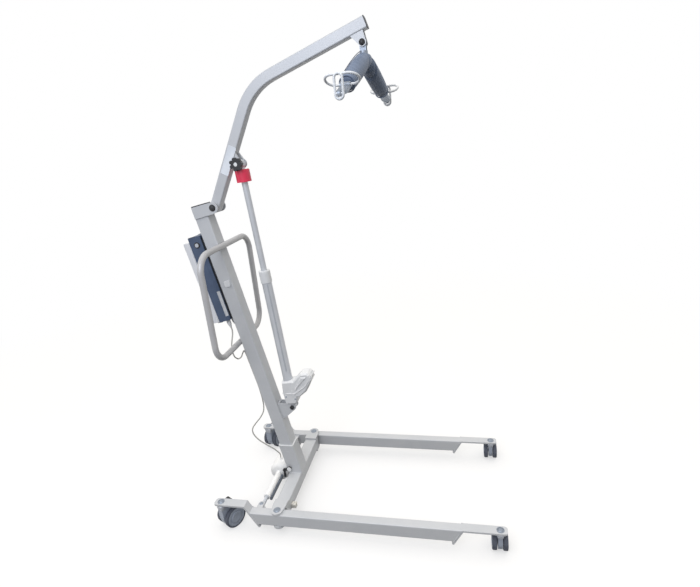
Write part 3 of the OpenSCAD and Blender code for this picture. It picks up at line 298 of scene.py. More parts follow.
# hard-anodised aluminium actuator tubes: pale satin grey with a cool cast
anodisedTube = finishMaterial(
    "anodisedTube", "#c9ccd1", "#bfc3c9", roughness=0.36, grainMm=3, bumpMm=0.05, blotchMm=120,
    roughSpread=0.06, Metallic=0.35)
# the same anodising painted darker for the cylinder's slot: painted shade inside the groove
slotShadeAnodised = finishMaterial(
    "slotShadeAnodised", "#9aa0a8", "#9097a0", roughness=0.45, grainMm=3, bumpMm=0.05, blotchMm=60,
    roughSpread=0.06, Metallic=0.3)
# glass-filled nylon: black, dry, finely eroded tool texture
blackNylon = finishMaterial(
    "blackNylon", "#1b1c20", "#25272c", roughness=0.48, grainMm=2.2, bumpMm=0.12, blotchMm=25)
# moulded ABS covers: near white, lightly polished
whiteAbs = finishMaterial(
    "whiteAbs", "#ebeced", "#e4e6e8", roughness=0.36, grainMm=2.5, bumpMm=0.08, blotchMm=80,
    roughSpread=0.05, **coat(0.1, 0.25))
# the same moulding painted whiter on the leg actuator: painted light that lifts it out of the shade
# under the mast
paintedLightAbs = finishMaterial(
    "paintedLightAbs", "#fdfdfc", "#f8f9f9", roughness=0.38, grainMm=2.5, bumpMm=0.08, blotchMm=80,
    roughSpread=0.05)
# cream, pale and dark blue mouldings with a coarser, drier tool grain
creamAbs = finishMaterial(
    "creamAbs", "#e2dfd6", "#d9d6cd", roughness=0.45, grainMm=2.5, bumpMm=0.1, blotchMm=40)
paleAbs = finishMaterial(
    "paleAbs", "#edeef1", "#e4e6ea", roughness=0.44, grainMm=2.5, bumpMm=0.12, blotchMm=80)
blueAbs = finishMaterial(
    "blueAbs", "#4a5a74", "#3f4e67", roughness=0.46, grainMm=2.2, bumpMm=0.16, blotchMm=60)
# signal red, polished like the white covers
redAbs = finishMaterial(
    "redAbs", "#f3395c", "#e73053", roughness=0.38, grainMm=2.5, bumpMm=0.08, blotchMm=30,
    roughSpread=0.05, **coat(0.15, 0.2))
# caster bodies and hoods: grey-blue polypropylene, satin; the hoods' copy is painted lighter, as painted
# light against the shade between the wheels, and the battery's release button shares it
casterPolypropylene = finishMaterial(
    "casterPolypropylene", "#aab2c0", "#9ea7b6", roughness=0.42, grainMm=2.5, bumpMm=0.1,
    blotchMm=30)
litHoodPolypropylene = finishMaterial(
    "litHoodPolypropylene", "#cbcfd6", "#c1c6ce", roughness=0.4, grainMm=2.5, bumpMm=0.1, blotchMm=30)
# thermoplastic rubber tread: dark and dusty
greyTread = finishMaterial(
    "greyTread", "#4a4f5b", "#585d69", roughness=0.66, grainMm=2, bumpMm=0.2, blotchMm=18,
    roughSpread=0.1)
# dip-coated wire: thick glossy white nylon
whiteDipCoat = finishMaterial(
    "whiteDipCoat", "#eceef0", "#dfe3e7", roughness=0.3, grainMm=4, bumpMm=0.06, blotchMm=40,
    roughSpread=0.05, **coat(0.3, 0.15))
# soft vinyl cable jacket: pale and dull
cableVinyl = finishMaterial(
    "cableVinyl", "#c9c8c4", "#bcbbb7", roughness=0.5, grainMm=3, bumpMm=0.08, blotchMm=40)
# lacquered circuit board: deep green, half matt
boardGreen = finishMaterial(
    "boardGreen", "#1d6b3a", "#17552e", roughness=0.5, grainMm=3, bumpMm=0.05, blotchMm=15)
# shrink wrap on the cells: grey with a metal shine
cellWrap = finishMaterial(
    "cellWrap", "#7a7f88", "#6d727b", roughness=0.35, grainMm=3, bumpMm=0.05, blotchMm=40,
    roughSpread=0.05, Metallic=0.6)
# stuck-on vinyl, white and grey: smooth, a little shiny
labelVinyl = finishMaterial(
    "labelVinyl", "#eef2f7", "#e6ecf3", roughness=0.4, grainMm=5, bumpMm=0.03, blotchMm=30,
    roughSpread=0.04)
greyVinyl = finishMaterial(
    "greyVinyl", "#d4d6da", "#c6c9ce", roughness=0.45, grainMm=3, bumpMm=0.05, blotchMm=12,
    roughSpread=0.05)


# coated nylon cloth: blue-grey, with a soft sheen and rubbed high spots; the plain weave is drawn at
# 2.4 mm so that it shows
weaving = {"colour": "#68778f", "rubbed": "#77869f", "threadMm": 2.4, "rubMm": 45, "bumpMm": 0.3,
           "bands": 20}              # bands of a wave texture to one unit of its scale


def padFabric(w):
    material = bpy.data.materials.new("coatedNylonCloth")
    material.use_nodes = True
    tree = material.node_tree
    tree.nodes.clear()
    place = addNode(tree, "ShaderNodeTexCoord").outputs["Object"]
    thread = {"Scale": perMetre(w["threadMm"]) / w["bands"], "Distortion": 0.4, "Detail": 1}
    warp = addNode(tree, "ShaderNodeTexWave", thread, {"Vector": place}, bands_direction='Y')
    weft = addNode(tree, "ShaderNodeTexWave", thread, {"Vector": place}, bands_direction='DIAGONAL')
    weave = addNode(tree, "ShaderNodeMath", (), {0: warp.outputs["Fac"], 1: weft.outputs["Fac"]},
                    operation='MULTIPLY')
    rub = addNode(tree, "ShaderNodeTexNoise",
                  {"Scale": perMetre(w["rubMm"]), "Detail": 5, "Roughness": 0.65}, {"Vector": place})
    drift = addNode(tree, "ShaderNodeMapRange",
                    {"From Min": 0.35, "From Max": 0.7}, {"Value": rub.outputs["Fac"]})
    mix = addNode(tree, "ShaderNodeMix", {6: linear(w["colour"]), 7: linear(w["rubbed"])},
                  {0: drift.outputs["Result"]}, data_type='RGBA')
    shade = addNode(tree, "ShaderNodeMapRange",
                    {"To Min": 0.9, "To Max": 1.06}, {"Value": weave.outputs["Value"]})
    cloth = addNode(tree, "ShaderNodeMix", {0: 1.0}, {6: mix.outputs[2], 7: shade.outputs["Result"]},
                    data_type='RGBA', blend_type='MULTIPLY')
    bump = addNode(tree, "ShaderNodeBump",
                   {"Strength": 0.3, "Distance": w["bumpMm"] * mm}, {"Height": weave.outputs["Value"]})
    gloss = addNode(tree, "ShaderNodeMapRange",
                    {"To Min": 0.46, "To Max": 0.62}, {"Value": rub.outputs["Fac"]})
    surface = addNode(tree, "ShaderNodeBsdfPrincipled", {"Sheen Weight": 0.15, "Sheen Roughness": 0.4},
                      {"Base Color": cloth.outputs[2], "Roughness": gloss.outputs["Result"],
                       "Normal": bump.outputs["Normal"]})
    addNode(tree, "ShaderNodeOutputMaterial", (), {"Surface": surface.outputs["BSDF"]})
    return material


padCloth = padFabric(weaving)
# twisted polyester thread: dark and dull
seamThread = finishMaterial(
    "seamThread", "#39455a", "#465369", roughness=0.6, grainMm=1.5, bumpMm=0.1, blotchMm=8)

finishes = {
    silverPowderCoat: ["cross_member", "mast_socket", "mast", "head_bracket", "lift_bracket",
                       "near_leg_tube", "near_leg_plates", "far_leg_tube", "far_leg_plates",
                       "boom_tube", "boom_ears"],
    handlePowderCoat: ["push_handle"],
    darkPowderCoat: ["guide_bar"],
    zincSteel: ["hanger_link", "spreader_bar", "lift_spindle", "lift_motor", "near_leg_bolts",
                "far_leg_bolts"],
    anodisedTube: ["lift_rod", "lift_cylinder"],
    polishedChrome: ["leg_actuator_rod"],
    blackNylon: ["mast_top_cap", "boom_pivot_pin", "lift_bracket_pins", "control_bracket",
                 "hanger_pin", "star_knob", "near_rear_brake", "far_rear_brake", "boom_end_cap",
                 "mast_lock_lever"],
    whiteAbs: ["mast_side_caps", "lead_plugs", "guide_ring", "gear_housing"],
    paintedLightAbs: ["leg_actuator_body"],
    litHoodPolypropylene: ["battery_release"],
    blueAbs: ["control_housing"],
    paleAbs: ["battery_case"],
    redAbs: ["lowering_collar"],
    casterPolypropylene: [n for n in nodes if n.endswith(("_caster", "_hubs"))],
    greyTread: [n for n in nodes if n.endswith("_tyres")],
    padCloth: ["spreader_pad"],
    whiteDipCoat: ["sling_loops", "near_hook_gate", "far_hook_gate"],
    boardGreen: ["control_board"],
    cellWrap: ["battery_cells"],
    cableVinyl: ["leg_motor_cable"],
}
for material, names in finishes.items():
    for name in names:
        nodes[name].data.materials.clear()
        nodes[name].data.materials.append(material)
print("finishes set")


# cable from the control box to the leg motor
cable = {
    "diameter": 0.006,
    "plug": (-55, -24, 786),         # mast frame, mm: forward, across, up
    "leave": (3, 0, -14),            # first step out of the plug
    "route": [(-195, -28, 840), (-198, -38, 815), (-200, -46, 790), (-200, -48, 760), (-195, -44, 735),
              (-186, -34, 722), (-177, -22, 726), (-171, -12, 742), (-166, -6, 748), (-160, -4, 730),
              (-154, -4, 700), (-146, -4, 660), (-138, -4, 620), (-130, -4, 580), (-124, -4, 540),
              (-120, -4, 500), (-120, -4, 460), (-126, -6, 430), (-144, -10, 400), (-170, -16, 370),
              (-188, -20, 345), (-190, -22, 320), (-180, -20, 295), (-164, -14, 270), (-146, -4, 245),
              (-128, 6, 222), (-112, 16, 200), (-101, 25, 178)],
    "enter": (0, 0, 20),             # last step into the gland
    "gland": (-95, 30, 141.5),
    "slack": 11,                     # route points at the gland's end that follow the leg actuator
    "steps": 6,
}


def smoothRoute(points, steps):
    # a curve through every point
    ends = [2 * points[0] - points[1]] + points + [2 * points[-1] - points[-2]]
    path = []
    for k in range(1, len(ends) - 2):
        a, b, c, d = ends[k - 1:k + 3]
        for s in range(steps):
            t = s / steps
            path.append(0.5 * (2 * b + (c - a) * t + (2 * a - 5 * b + 4 * c - d) * t * t
                               + (3 * b - a - 3 * c + d) * t ** 3))
    return path + [points[-1]]


def tubeMesh(name, path, radius, radii=None, resolution=3, closed=False):
    data = bpy.data.curves.new(name, 'CURVE')
    data.dimensions = '3D'
    data.bevel_depth = radius
    data.bevel_resolution = resolution
    data.use_fill_caps = not closed
    spline = data.splines.new('POLY')
    spline.points.add(len(path) - 1)
    for k, p in enumerate(path):
        spline.points[k].co = (*p, 1)
        spline.points[k].radius = radii[k] if radii else 1
    spline.use_cyclic_u = closed
    obj = bpy.data.objects.new(name, data)
    bpy.context.scene.collection.objects.link(obj)
    active(obj)
    bpy.ops.object.convert(target='MESH')
    return named(name)


def addCable(c):
    plug = mastFrame @ (Vector(c["plug"]) * mm)
    gland = Vector(c["gland"]) * mm
    points = [plug, plug + Vector(c["leave"]) * mm]
    points += [Vector(p) * mm for p in c["route"]]
    points += [gland + Vector(c["enter"]) * mm, gland]
    path = smoothRoute(points, c["steps"])
    obj = tubeMesh("legMotorCable", path, c["diameter"] / 2)
    active(obj)
    bpy.ops.object.shade_smooth()
    obj.data.materials.clear()
    obj.data.materials.append(cableVinyl)
    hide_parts("leg_motor_cable")
    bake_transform(obj)


addCable(cable)


# padded sleeve on the spreader bar
pad = {
    "half": 205, "drop": 96, "soft": 16, "radius": 33,
    "slimmer": 3,                    # mm that the cloth swells back
    "rings": 49, "sides": 40,
    "voxel": 5, "cap": 7, "frames": 20,
    "quality": 5, "mass": 0.2, "stiffness": 12, "pressure": 4,
    # shares of the radius: at the waist, swelling beside it, and drawn in towards the ends
    "waist": 0.92, "swell": 0.08, "drawn": 0.16, "drawnFrom": 0.8, "drawnOver": 0.2,
    "hole": 19.5, "holeFloor": -14, "holeDeep": 120, "holeSides": 48,
    # place along the sleeve, width, depth, slant, and the share of the depth that is left on top
    "creases": [(14, 6, 15.0, 0.5), (42, 5, 9.0, -0.6), (-30, 6, 5.0, 0.5), (27, 4, 6.0, 0.2)],
    "creaseTop": 0.35, "creaseBelow": 0.65,
}


def padLine(t, p):
    s = t * p["half"]
    return Vector((0, s, -math.hypot(s, p["soft"]) * p["drop"] / p["half"]))


def padSwell(t, p):
    a = abs(t)
    ends = max(0, (a - p["drawnFrom"]) / p["drawnOver"]) ** 2
    return p["radius"] * (p["waist"] + p["swell"] * math.sin(math.pi * a) - p["drawn"] * ends)


def padFrame(t, p):
    step = 0.01
    ahead = (padLine(t + step, p) - padLine(t - step, p)).normalized()
    side = Vector((1, 0, 0))
    return padLine(t, p), side, ahead.cross(side)


def addPad(p):
    bpy.ops.object.select_all(action='DESELECT')
    bpy.ops.mesh.primitive_cylinder_add(vertices=p["sides"], radius=1, depth=2, end_fill_type='TRIFAN')
    obj = named("spreaderPadCover")
    pickEdges(obj, lambda a, b: abs(a.z - b.z) > 1)
    bpy.ops.mesh.subdivide(number_cuts=p["rings"] - 2)
    objectMode()
    for v in obj.data.vertices:
        t = v.co.z
        middle, side, up = padFrame(t, p)
        reach = math.hypot(v.co.x, v.co.y) * (padSwell(t, p) - p["slimmer"])
        angle = math.atan2(v.co.y, v.co.x)
        v.co = (middle + side * (reach * math.cos(angle)) + up * (reach * math.sin(angle))) * mm
    editMode(obj)
    bpy.ops.mesh.select_all(action='SELECT')
    bpy.ops.mesh.normals_make_consistent(inside=False)
    objectMode()
    active(obj)
    mod = obj.modifiers.new("voxels", 'REMESH')
    mod.mode = 'VOXEL'
    mod.voxel_size = p["voxel"] * mm
    bpy.ops.object.modifier_apply(modifier=mod.name)
    stuffPad(obj, p)
    mod = obj.modifiers.new("smooth", 'SUBSURF')
    mod.levels = mod.render_levels = 1
    bpy.ops.object.modifier_apply(modifier=mod.name)
    creasePad(obj, p)
    placed(obj, spreaderFrame)
    holePad(obj, p)
    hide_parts("spreader_pad")
    done(obj, "spreader", padCloth, roundPiece)
    return obj


def stuffPad(obj, p):
    before = [v.co.copy() for v in obj.data.vertices]
    mod = obj.modifiers.new("stuffing", 'CLOTH')
    mod.settings.quality = p["quality"]
    mod.settings.mass = p["mass"]
    mod.settings.tension_stiffness = p["stiffness"]
    mod.settings.compression_stiffness = p["stiffness"]
    mod.settings.use_pressure = True
    mod.settings.uniform_pressure_force = p["pressure"]
    mod.settings.effector_weights.gravity = 0
    mod.point_cache.frame_start = 1
    mod.point_cache.frame_end = p["frames"]
    scene = bpy.context.scene
    for f in range(1, p["frames"] + 1):
        scene.frame_set(f)
    active(obj)
    bpy.ops.object.modifier_apply(modifier=mod.name)
    scene.frame_set(1)
    cap = p["cap"] * mm
    for v, old in zip(obj.data.vertices, before):
        move = v.co - old
        if move.length > cap:
            v.co = old + move * (cap / move.length)


def creasePad(obj, p):
    # folds where the sleeve bends over the swivel, deepest below and shallow on top
    tiny = 1e-6
    for v in obj.data.vertices:
        y = v.co.y / mm
        t = max(-1, min(1, y / p["half"]))
        middle, side, up = padFrame(t, p)
        out = v.co - middle * mm
        out.y = 0
        if out.length < tiny:
            continue
        low = 0.5 - 0.5 * out.normalized().z
        for place, width, depth, slant in p["creases"]:
            off = (y - place - slant * out.z / mm) / width
            share = p["creaseTop"] + p["creaseBelow"] * low
            v.co -= out.normalized() * (depth * mm * math.exp(-off * off) * share)


def holePad(obj, p):
    bpy.ops.object.select_all(action='DESELECT')
    deep = p["holeDeep"] * mm
    bpy.ops.mesh.primitive_cylinder_add(vertices=p["holeSides"], radius=p["hole"] * mm, depth=deep,
                                        location=swivel + Vector((0, 0, p["holeFloor"] * mm + deep / 2)))
    cutter = bpy.context.active_object
    active(obj)
    mod = obj.modifiers.new("hole", 'BOOLEAN')
    mod.object = cutter
    mod.operation = 'DIFFERENCE'
    mod.solver = 'EXACT'
    bpy.ops.object.modifier_apply(modifier=mod.name)
    bpy.data.objects.remove(cutter)


padCover = addPad(pad)
print("pad stuffed:", len(padCover.data.polygons), "faces")


# stitched seam along the pad's back, and a hem at each end
seam = {"wire": 0.9, "stitch": 5, "gap": 2, "angle": -110, "reach": 0.9, "arch": 0.6,
        "along": (0, 0.33, 0.67, 1),     # shares of a stitch where its thread has a point
        "hemWire": 2.2, "hemAt": 0.985, "hemSides": 48, "hemSink": 0.5}


def addSeams(s, p):
    pieces = []
    span = s["reach"] * p["half"]
    count = int(2 * span / (s["stitch"] + s["gap"]))
    turn = math.radians(s["angle"])
    for k in range(count):
        path = []
        for e in s["along"]:
            t = (-span + (s["stitch"] + s["gap"]) * k + e * s["stitch"]) / p["half"]
            middle, side, up = padFrame(t, p)
            reach = padSwell(t, p) + (s["arch"] if 0 < e < 1 else -s["arch"])
            path.append((middle + side * (reach * math.cos(turn)) + up * (reach * math.sin(turn))) * mm)
        pieces.append(tubeMesh("stitch", path, s["wire"] * mm, resolution=1))
    bpy.ops.object.select_all(action='DESELECT')
    for obj in pieces:
        obj.select_set(True)
    bpy.context.view_layer.objects.active = pieces[0]
    bpy.ops.object.join()
    obj = named("padSeamStitches")
    placed(obj, spreaderFrame)
    done(obj, "spreader", seamThread)
    for side, name in ((-1, "nearPadHem"), (1, "farPadHem")):
        t = side * s["hemAt"]
        middle, across, up = padFrame(t, p)
        reach = padSwell(t, p) - s["hemSink"]
        path = [(middle + across * (reach * math.cos(a)) + up * (reach * math.sin(a))) * mm
                for a in (2 * math.pi * k / s["hemSides"] for k in range(s["hemSides"]))]
        hem = tubeMesh(name, path, s["hemWire"] * mm, closed=True)
        placed(hem, spreaderFrame)
        done(hem, "spreader", padCloth, roundPiece)


addSeams(seam, pad)
print("pad sewn")


# bare plates stuck on the boom and on the control box
plates = {
    "boomPlate": {"size": (115, 33, 0.8), "round": 3, "edge": 1.2, "sink": 0.25,
                  "at": (200.5, -20, -3.5), "turn": 0,
                  "frame": boomFrame, "body": "boom", "finish": labelVinyl, "slot": "white_plastic"},
    "controlPlate": {"size": (13, 115, 0.8), "round": 2, "edge": 1.2, "sink": 0.25,
                     "at": (-43, -38.5, 900), "turn": 32.7,
                     "frame": mastFrame, "body": "base", "finish": greyVinyl, "slot": "pale_plastic"},
}


def addPlate(name, p):
    # a thin card with round corners, standing on the near side of its carrier
    long, wide, thick = p["size"]
    bpy.ops.object.select_all(action='DESELECT')
    bpy.ops.mesh.primitive_plane_add(size=1)
    obj = named(name)
    placed(obj, Matrix.Diagonal((long * mm, wide * mm, 1, 1)))
    editMode(obj, 'VERT')
    bpy.ops.mesh.select_all(action='SELECT')
    bpy.ops.mesh.bevel(offset=p["round"] * mm, segments=5, affect='VERTICES')
    bpy.ops.mesh.select_mode(type='FACE')
    bpy.ops.mesh.select_all(action='SELECT')
    bpy.ops.mesh.extrude_region_move(TRANSFORM_OT_translate={"value": (0, 0, thick * mm)})
    bpy.ops.mesh.inset(thickness=p["edge"] * mm)
    bpy.ops.transform.translate(value=(0, 0, -p["sink"] * mm))
    bpy.ops.mesh.select_all(action='SELECT')
    bpy.ops.mesh.normals_make_consistent(inside=False)
    objectMode()
    stand = Matrix.Rotation(math.radians(p["turn"]), 4, 'Z') @ toNear
    placed(obj, p["frame"] @ Matrix.Translation(Vector(p["at"]) * mm) @ stand)
    done(obj, p["body"], p["finish"])


for name, p in plates.items():
    addPlate(name, p)
print("plates stuck on")


# weld beads where tubes and plates meet, each as (forward, up) pairs beside its tube
weld = {
    "radius": 2.2, "pitch": 3.2, "valley": 0.78, "end": 0.7,
    "head": [(-26, 1270), (30, 1272)], "headHalf": 30,
    "lowerBracket": [(30, 294), (30, 375)], "lowerBracketHalf": 19,
    "liftEar": [(179, -20), (239, -20)], "liftEarHalf": 19.5,
    "socketReach": 30,
    "legHalf": 20, "legSlope": 34, "legTall": 60,
}


def ripples(path, w):
    # evenly spaced points with a radius that rises and falls
    out, radii = [], []
    carry = 0
    for a, b in zip(path, path[1:]):
        run = (b - a).length
        while carry < run:
            out.append(a.lerp(b, carry / run))
            radii.append(1.0 if len(out) % 2 else w["valley"])
            carry += w["pitch"] / 2 * mm
        carry -= run
    return out + [path[-1]], radii + [w["end"]]


def addWeld(name, corners, body, matrix=Matrix.Identity(4)):
    points, radii = ripples([Vector(c) * mm for c in corners], weld)
    obj = tubeMesh(name, points, weld["radius"] * mm, radii, resolution=2)
    placed(obj, matrix)
    done(obj, body, silverPowderCoat, roundPiece)


def addWeldPair(name, pairs, half, body, matrix):
    for side, end in ((-1, "Near"), (1, "Far")):
        addWeld(name + end, [(forward, side * half, up) for forward, up in pairs], body, matrix)


socketLow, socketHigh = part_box("mast_socket")
socketHalf = (socketHigh.y - socketLow.y) / 2 / mm
socketFront = socketHalf / math.cos(mastLean)
crossTop = socketLow.z / mm
socketFoot = [(-weld["socketReach"], crossTop), (weld["socketReach"], crossTop)]
addWeldPair("socketWeld", socketFoot, socketHalf, "base", Matrix.Identity(4))
addWeldPair("headWeld", weld["head"], weld["headHalf"], "base", mastFrame)
addWeldPair("lowerBracketWeld", weld["lowerBracket"], weld["lowerBracketHalf"], "base", mastFrame)
addWeldPair("liftEarWeld", weld["liftEar"], weld["liftEarHalf"], "boom", boomFrame)
for leg, side in (("near", -1), ("far", 1)):
    low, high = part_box(leg + "_leg_tube")
    top = high.z / mm
    mid = side * jointPlace("far_leg_open").y / mm
    for end, x, inward in (("Front", high.x / mm, -1), ("Rear", low.x / mm, 1)):
        for across, ending in ((mid - weld["legHalf"], "A"), (mid + weld["legHalf"], "B")):
            slope = [(x, across, top), (x + inward * weld["legSlope"], across, top - weld["legTall"])]
            addWeld(leg + "Leg" + end + "Weld" + ending, slope, leg + "_leg")
print("welds laid")


# white strip round the socket's rim: a painted highlight that stands in for the rim's lit edge
rim = {"width": 5.6, "height": 3, "corner": 5, "soft": 0.8}


def addRimHighlight(r):
    top = socketHigh.z
    lean = math.tan(mastLean) * (top - mastFoot.z)
    bpy.ops.object.select_all(action='DESELECT')
    bpy.ops.mesh.primitive_plane_add(size=1)
    obj = named("socketRimHighlight")
    placed(obj, Matrix.Diagonal((2 * socketFront * mm, 2 * socketHalf * mm, 1, 1)))
    editMode(obj, 'VERT')
    bpy.ops.mesh.select_all(action='SELECT')
    bpy.ops.mesh.bevel(offset=r["corner"] * mm, segments=4, affect='VERTICES')
    bpy.ops.mesh.select_mode(type='FACE')
    bpy.ops.mesh.select_all(action='SELECT')
    bpy.ops.mesh.inset(thickness=r["width"] * mm)
    bpy.ops.mesh.delete(type='FACE')
    bpy.ops.mesh.select_all(action='SELECT')
    tall = r["height"] * mm
    rise = (-tall * math.tan(mastLean), 0, tall)
    bpy.ops.mesh.extrude_region_move(TRANSFORM_OT_translate={"value": rise})
    bpy.ops.mesh.select_all(action='SELECT')
    bpy.ops.mesh.normals_make_consistent(inside=False)
    objectMode()
    bevelled(obj, r["soft"] * mm)
    placed(obj, Matrix.Translation((-lean, 0, top)))
    done(obj, "base", whiteAbs)


addRimHighlight(rim)
print("socket rim fitted")


# turned caps: one profile is spun and copied
def spunCap(name, profile, steps=40):
    # profile points are (radius, height) in mm, from the rim to the middle
    bpy.ops.object.select_all(action='DESELECT')
    bpy.ops.mesh.primitive_plane_add(size=1)
    obj = named(name)
    editMode(obj, 'VERT')
    bpy.ops.mesh.select_all(action='SELECT')
    bpy.ops.mesh.delete(type='VERT')
    mesh = bmesh.from_edit_mesh(obj.data)
    verts = [mesh.verts.new((r * mm, 0, h * mm)) for r, h in profile]
    for a, b in zip(verts, verts[1:]):
        mesh.edges.new((a, b))
    bmesh.update_edit_mesh(obj.data)
    bpy.ops.mesh.select_all(action='SELECT')
    bpy.ops.mesh.spin(steps=steps, angle=2 * math.pi, center=(0, 0, 0), axis=(0, 0, 1))
    bpy.ops.mesh.select_all(action='SELECT')
    mergeWithin = 0.02
    bpy.ops.mesh.remove_doubles(threshold=mergeWithin * mm)
    bpy.ops.mesh.normals_make_consistent(inside=False)
    objectMode()
    return obj


# disc on the outside of each wheel: radius as a share of the hub's, profile as (share of it, mm out)
wheelDisc = {"radius": 0.6,
             "profile": [(0, -4.2), (1, -4.2), (1, -0.3), (0.93, 0.5), (0.52, 0.5), (0.47, -0.4),
                         (0, -0.4)]}
casters = ("near_front", "near_rear", "far_front", "far_rear")


def camel(caster, ending):
    first, second = caster.split("_")
    return first + second.capitalize() + ending


def addWheelDiscs(d):
    for caster in casters:
        roll = joints[caster + "_roll"]
        centre = Vector(roll["pos_m"])
        axis = Vector(roll["axis"]).normalized()
        hubs = [v.co - centre for v in nodes[caster + "_hubs"].data.vertices]
        reach = max(v.dot(axis) for v in hubs)
        radius = d["radius"] * max((v - axis * v.dot(axis)).length for v in hubs) / mm
        disc = spunCap("discShape", [(r * radius, h) for r, h in d["profile"]], steps=48)
        for side, end in ((1, "A"), (-1, "B")):
            turn = (axis * side).to_track_quat('Z', 'Y').to_matrix().to_4x4()
            place = Matrix.Translation(centre + axis * (side * reach)) @ turn
            one = copied(disc, camel(caster, "Disc" + end), place)
            done(one, caster + "_wheels", casterPolypropylene)
        bpy.data.objects.remove(disc)


addWheelDiscs(wheelDisc)

# soft hood on each caster's stem, wider above than below, in the grey that is painted lighter as painted
# light
hood = {"long": 34, "back": 2, "foot": 0.8, "soft": 5,
        "front": {"wide": 28, "low": 79, "high": 100.5}, "rear": {"wide": 40, "low": 104, "high": 133.5}}


def addHoods(h):
    for caster in casters:
        size = h[caster.split("_")[1]]
        stem = jointPlace(caster + "_swivel")
        ahead = jointPlace(caster + "_roll") - stem
        turn = Matrix.Rotation(math.atan2(ahead.y, ahead.x), 4, 'Z')
        tall = size["high"] - size["low"]
        bpy.ops.object.select_all(action='DESELECT')
        bpy.ops.mesh.primitive_cube_add(size=1)
        obj = named(camel(caster, "Hood"))
        placed(obj, Matrix.Diagonal((h["long"] * mm, size["wide"] * mm, tall * mm, 1)))
        pickFaces(obj, lambda middle, normal: normal.z < -0.5)
        bpy.ops.transform.resize(value=(h["foot"], h["foot"], 1))
        objectMode()
        bevelled(obj, h["soft"] * mm, segments=4)
        middle = Vector((-h["back"] * mm, 0, (size["low"] + size["high"]) / 2 * mm))
        placed(obj, Matrix.Translation((stem.x, stem.y, 0)) @ turn @ Matrix.Translation(middle))
        done(obj, caster + "_swivel", litHoodPolypropylene)


addHoods(hood)

# washers under the bolt heads of the legs
washer = {"profile": [(11.4, 0), (15.5, 0), (15.5, 1.2), (14.8, 1.8), (11.4, 1.8), (11.4, 0)],
          "beside": 13, "above": 500}


def addWashers(w):
    ring = spunCap("washerShape", w["profile"])
    for leg in ("near", "far"):
        pivot = jointPlace(leg + "_leg_open")
        for end, spot, carrier in (("Front", jointPlace(leg + "_front_swivel"), leg + "_leg_plates"),
                                   ("Rear", jointPlace(leg + "_rear_swivel"), leg + "_leg_plates"),
                                   ("Pivot", pivot, "cross_member")):
            under = onSurface(carrier, (spot.x, spot.y + w["beside"] * mm, w["above"] * mm),
                              (0, 0, -1))
            one = copied(ring, leg + end + "Washer", Matrix.Translation((spot.x, spot.y, under.z)))
            done(one, leg + "_leg", zincSteel)
    bpy.data.objects.remove(ring)


addWashers(washer)

# bright insert in the middle of the star knob
knobInsert = {"profile": [(0, -1), (7.5, -1), (7.5, 0.6), (6.4, 1.6), (4.2, 1.8), (3.6, 0.9), (0, 0.7)]}


def addKnobInsert(c):
    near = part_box("star_knob")[0].y
    obj = spunCap("knobInsert", c["profile"])
    placed(obj, Matrix.Translation((liftTop.x, near, liftTop.z)) @ toNear)
    done(obj, "star_knob", polishedChrome)


addKnobInsert(knobInsert)
print("caps turned")


# ridge and screws on the gear housing
gear = {
    "ridge": [(30, 90), (74, 160), (104, 160)],     # lift frame, forward and up, mm
    "ridgeHeight": 5, "ridgeTop": (0.75, 1, 0.82), "ridgeSoft": 1.6, "ridgeSink": 1,
    "face": 31, "screwSink": 2,
    "screws": [(28, 48), (-14, 60)],
    "screwProfile": [(0, 0), (4.2, 0), (4.2, 1.0), (3.4, 1.9), (2.2, 2.0), (1.9, 0.8), (0, 0.8)],
}


def addGearDetail(g):
    for side, name in ((-1, "near"), (1, "far")):
        bpy.ops.object.select_all(action='DESELECT')
        bpy.ops.mesh.primitive_circle_add(vertices=3, radius=1, fill_type='NGON')
        obj = named(name + "PodRidge")
        for v, (x, z) in zip(obj.data.vertices, g["ridge"]):
            v.co = Vector((x, side * (g["face"] - g["ridgeSink"]), z)) * mm
        editMode(obj)
        bpy.ops.mesh.select_all(action='SELECT')
        rise = (0, side * g["ridgeHeight"] * mm, 0)
        bpy.ops.mesh.extrude_region_move(TRANSFORM_OT_translate={"value": rise})
        bpy.ops.transform.resize(value=g["ridgeTop"])
        bpy.ops.mesh.select_all(action='SELECT')
        bpy.ops.mesh.normals_make_consistent(inside=False)
        objectMode()
        bevelled(obj, g["ridgeSoft"] * mm, segments=3)
        placed(obj, liftFrame)
        done(obj, "lift_actuator", whiteAbs)
    screw = spunCap("screwShape", g["screwProfile"], steps=20)
    for side, name in ((-1, "near"), (1, "far")):
        for k, (x, z) in enumerate(g["screws"]):
            spot = Matrix.Translation(Vector((x, side * (g["face"] - g["screwSink"]), z)) * mm)
            outward = Matrix.Rotation(math.radians(-side * 90), 4, 'X')
            one = copied(screw, name + "GearScrew" + str(k + 1), liftFrame @ spot @ outward)
            done(one, "lift_actuator", zincSteel)
    bpy.data.objects.remove(screw)


addGearDetail(gear)

# raised line where the two halves of the gear housing meet
parting = {"points": [(-24, 75), (0, 75), (31, 75), (50, 87), (70, 100), (89, 113), (105, 135),
                      (117, 153)],
           "radius": 2.6, "out": 90}


def addPartingLine(p):
    for side, name in ((-1, "near"), (1, "far")):
        path = []
        for x, z in p["points"]:
            start = liftFrame @ (Vector((x, side * p["out"], z)) * mm)
            spot = onSurface("gear_housing", start, (0, -side, 0))
            if spot is not None:
                path.append(spot)
        obj = tubeMesh(name + "PartingLine", path, p["radius"] * mm)
        done(obj, "lift_actuator", whiteAbs, roundPiece)


addPartingLine(parting)

# slot that runs up the lift cylinder's front, drawn as two thin strips in painted shade
cylinderSlotShade = {"angles": (22, 31), "from": 184, "below": 32, "radius": 0.8, "out": 60}


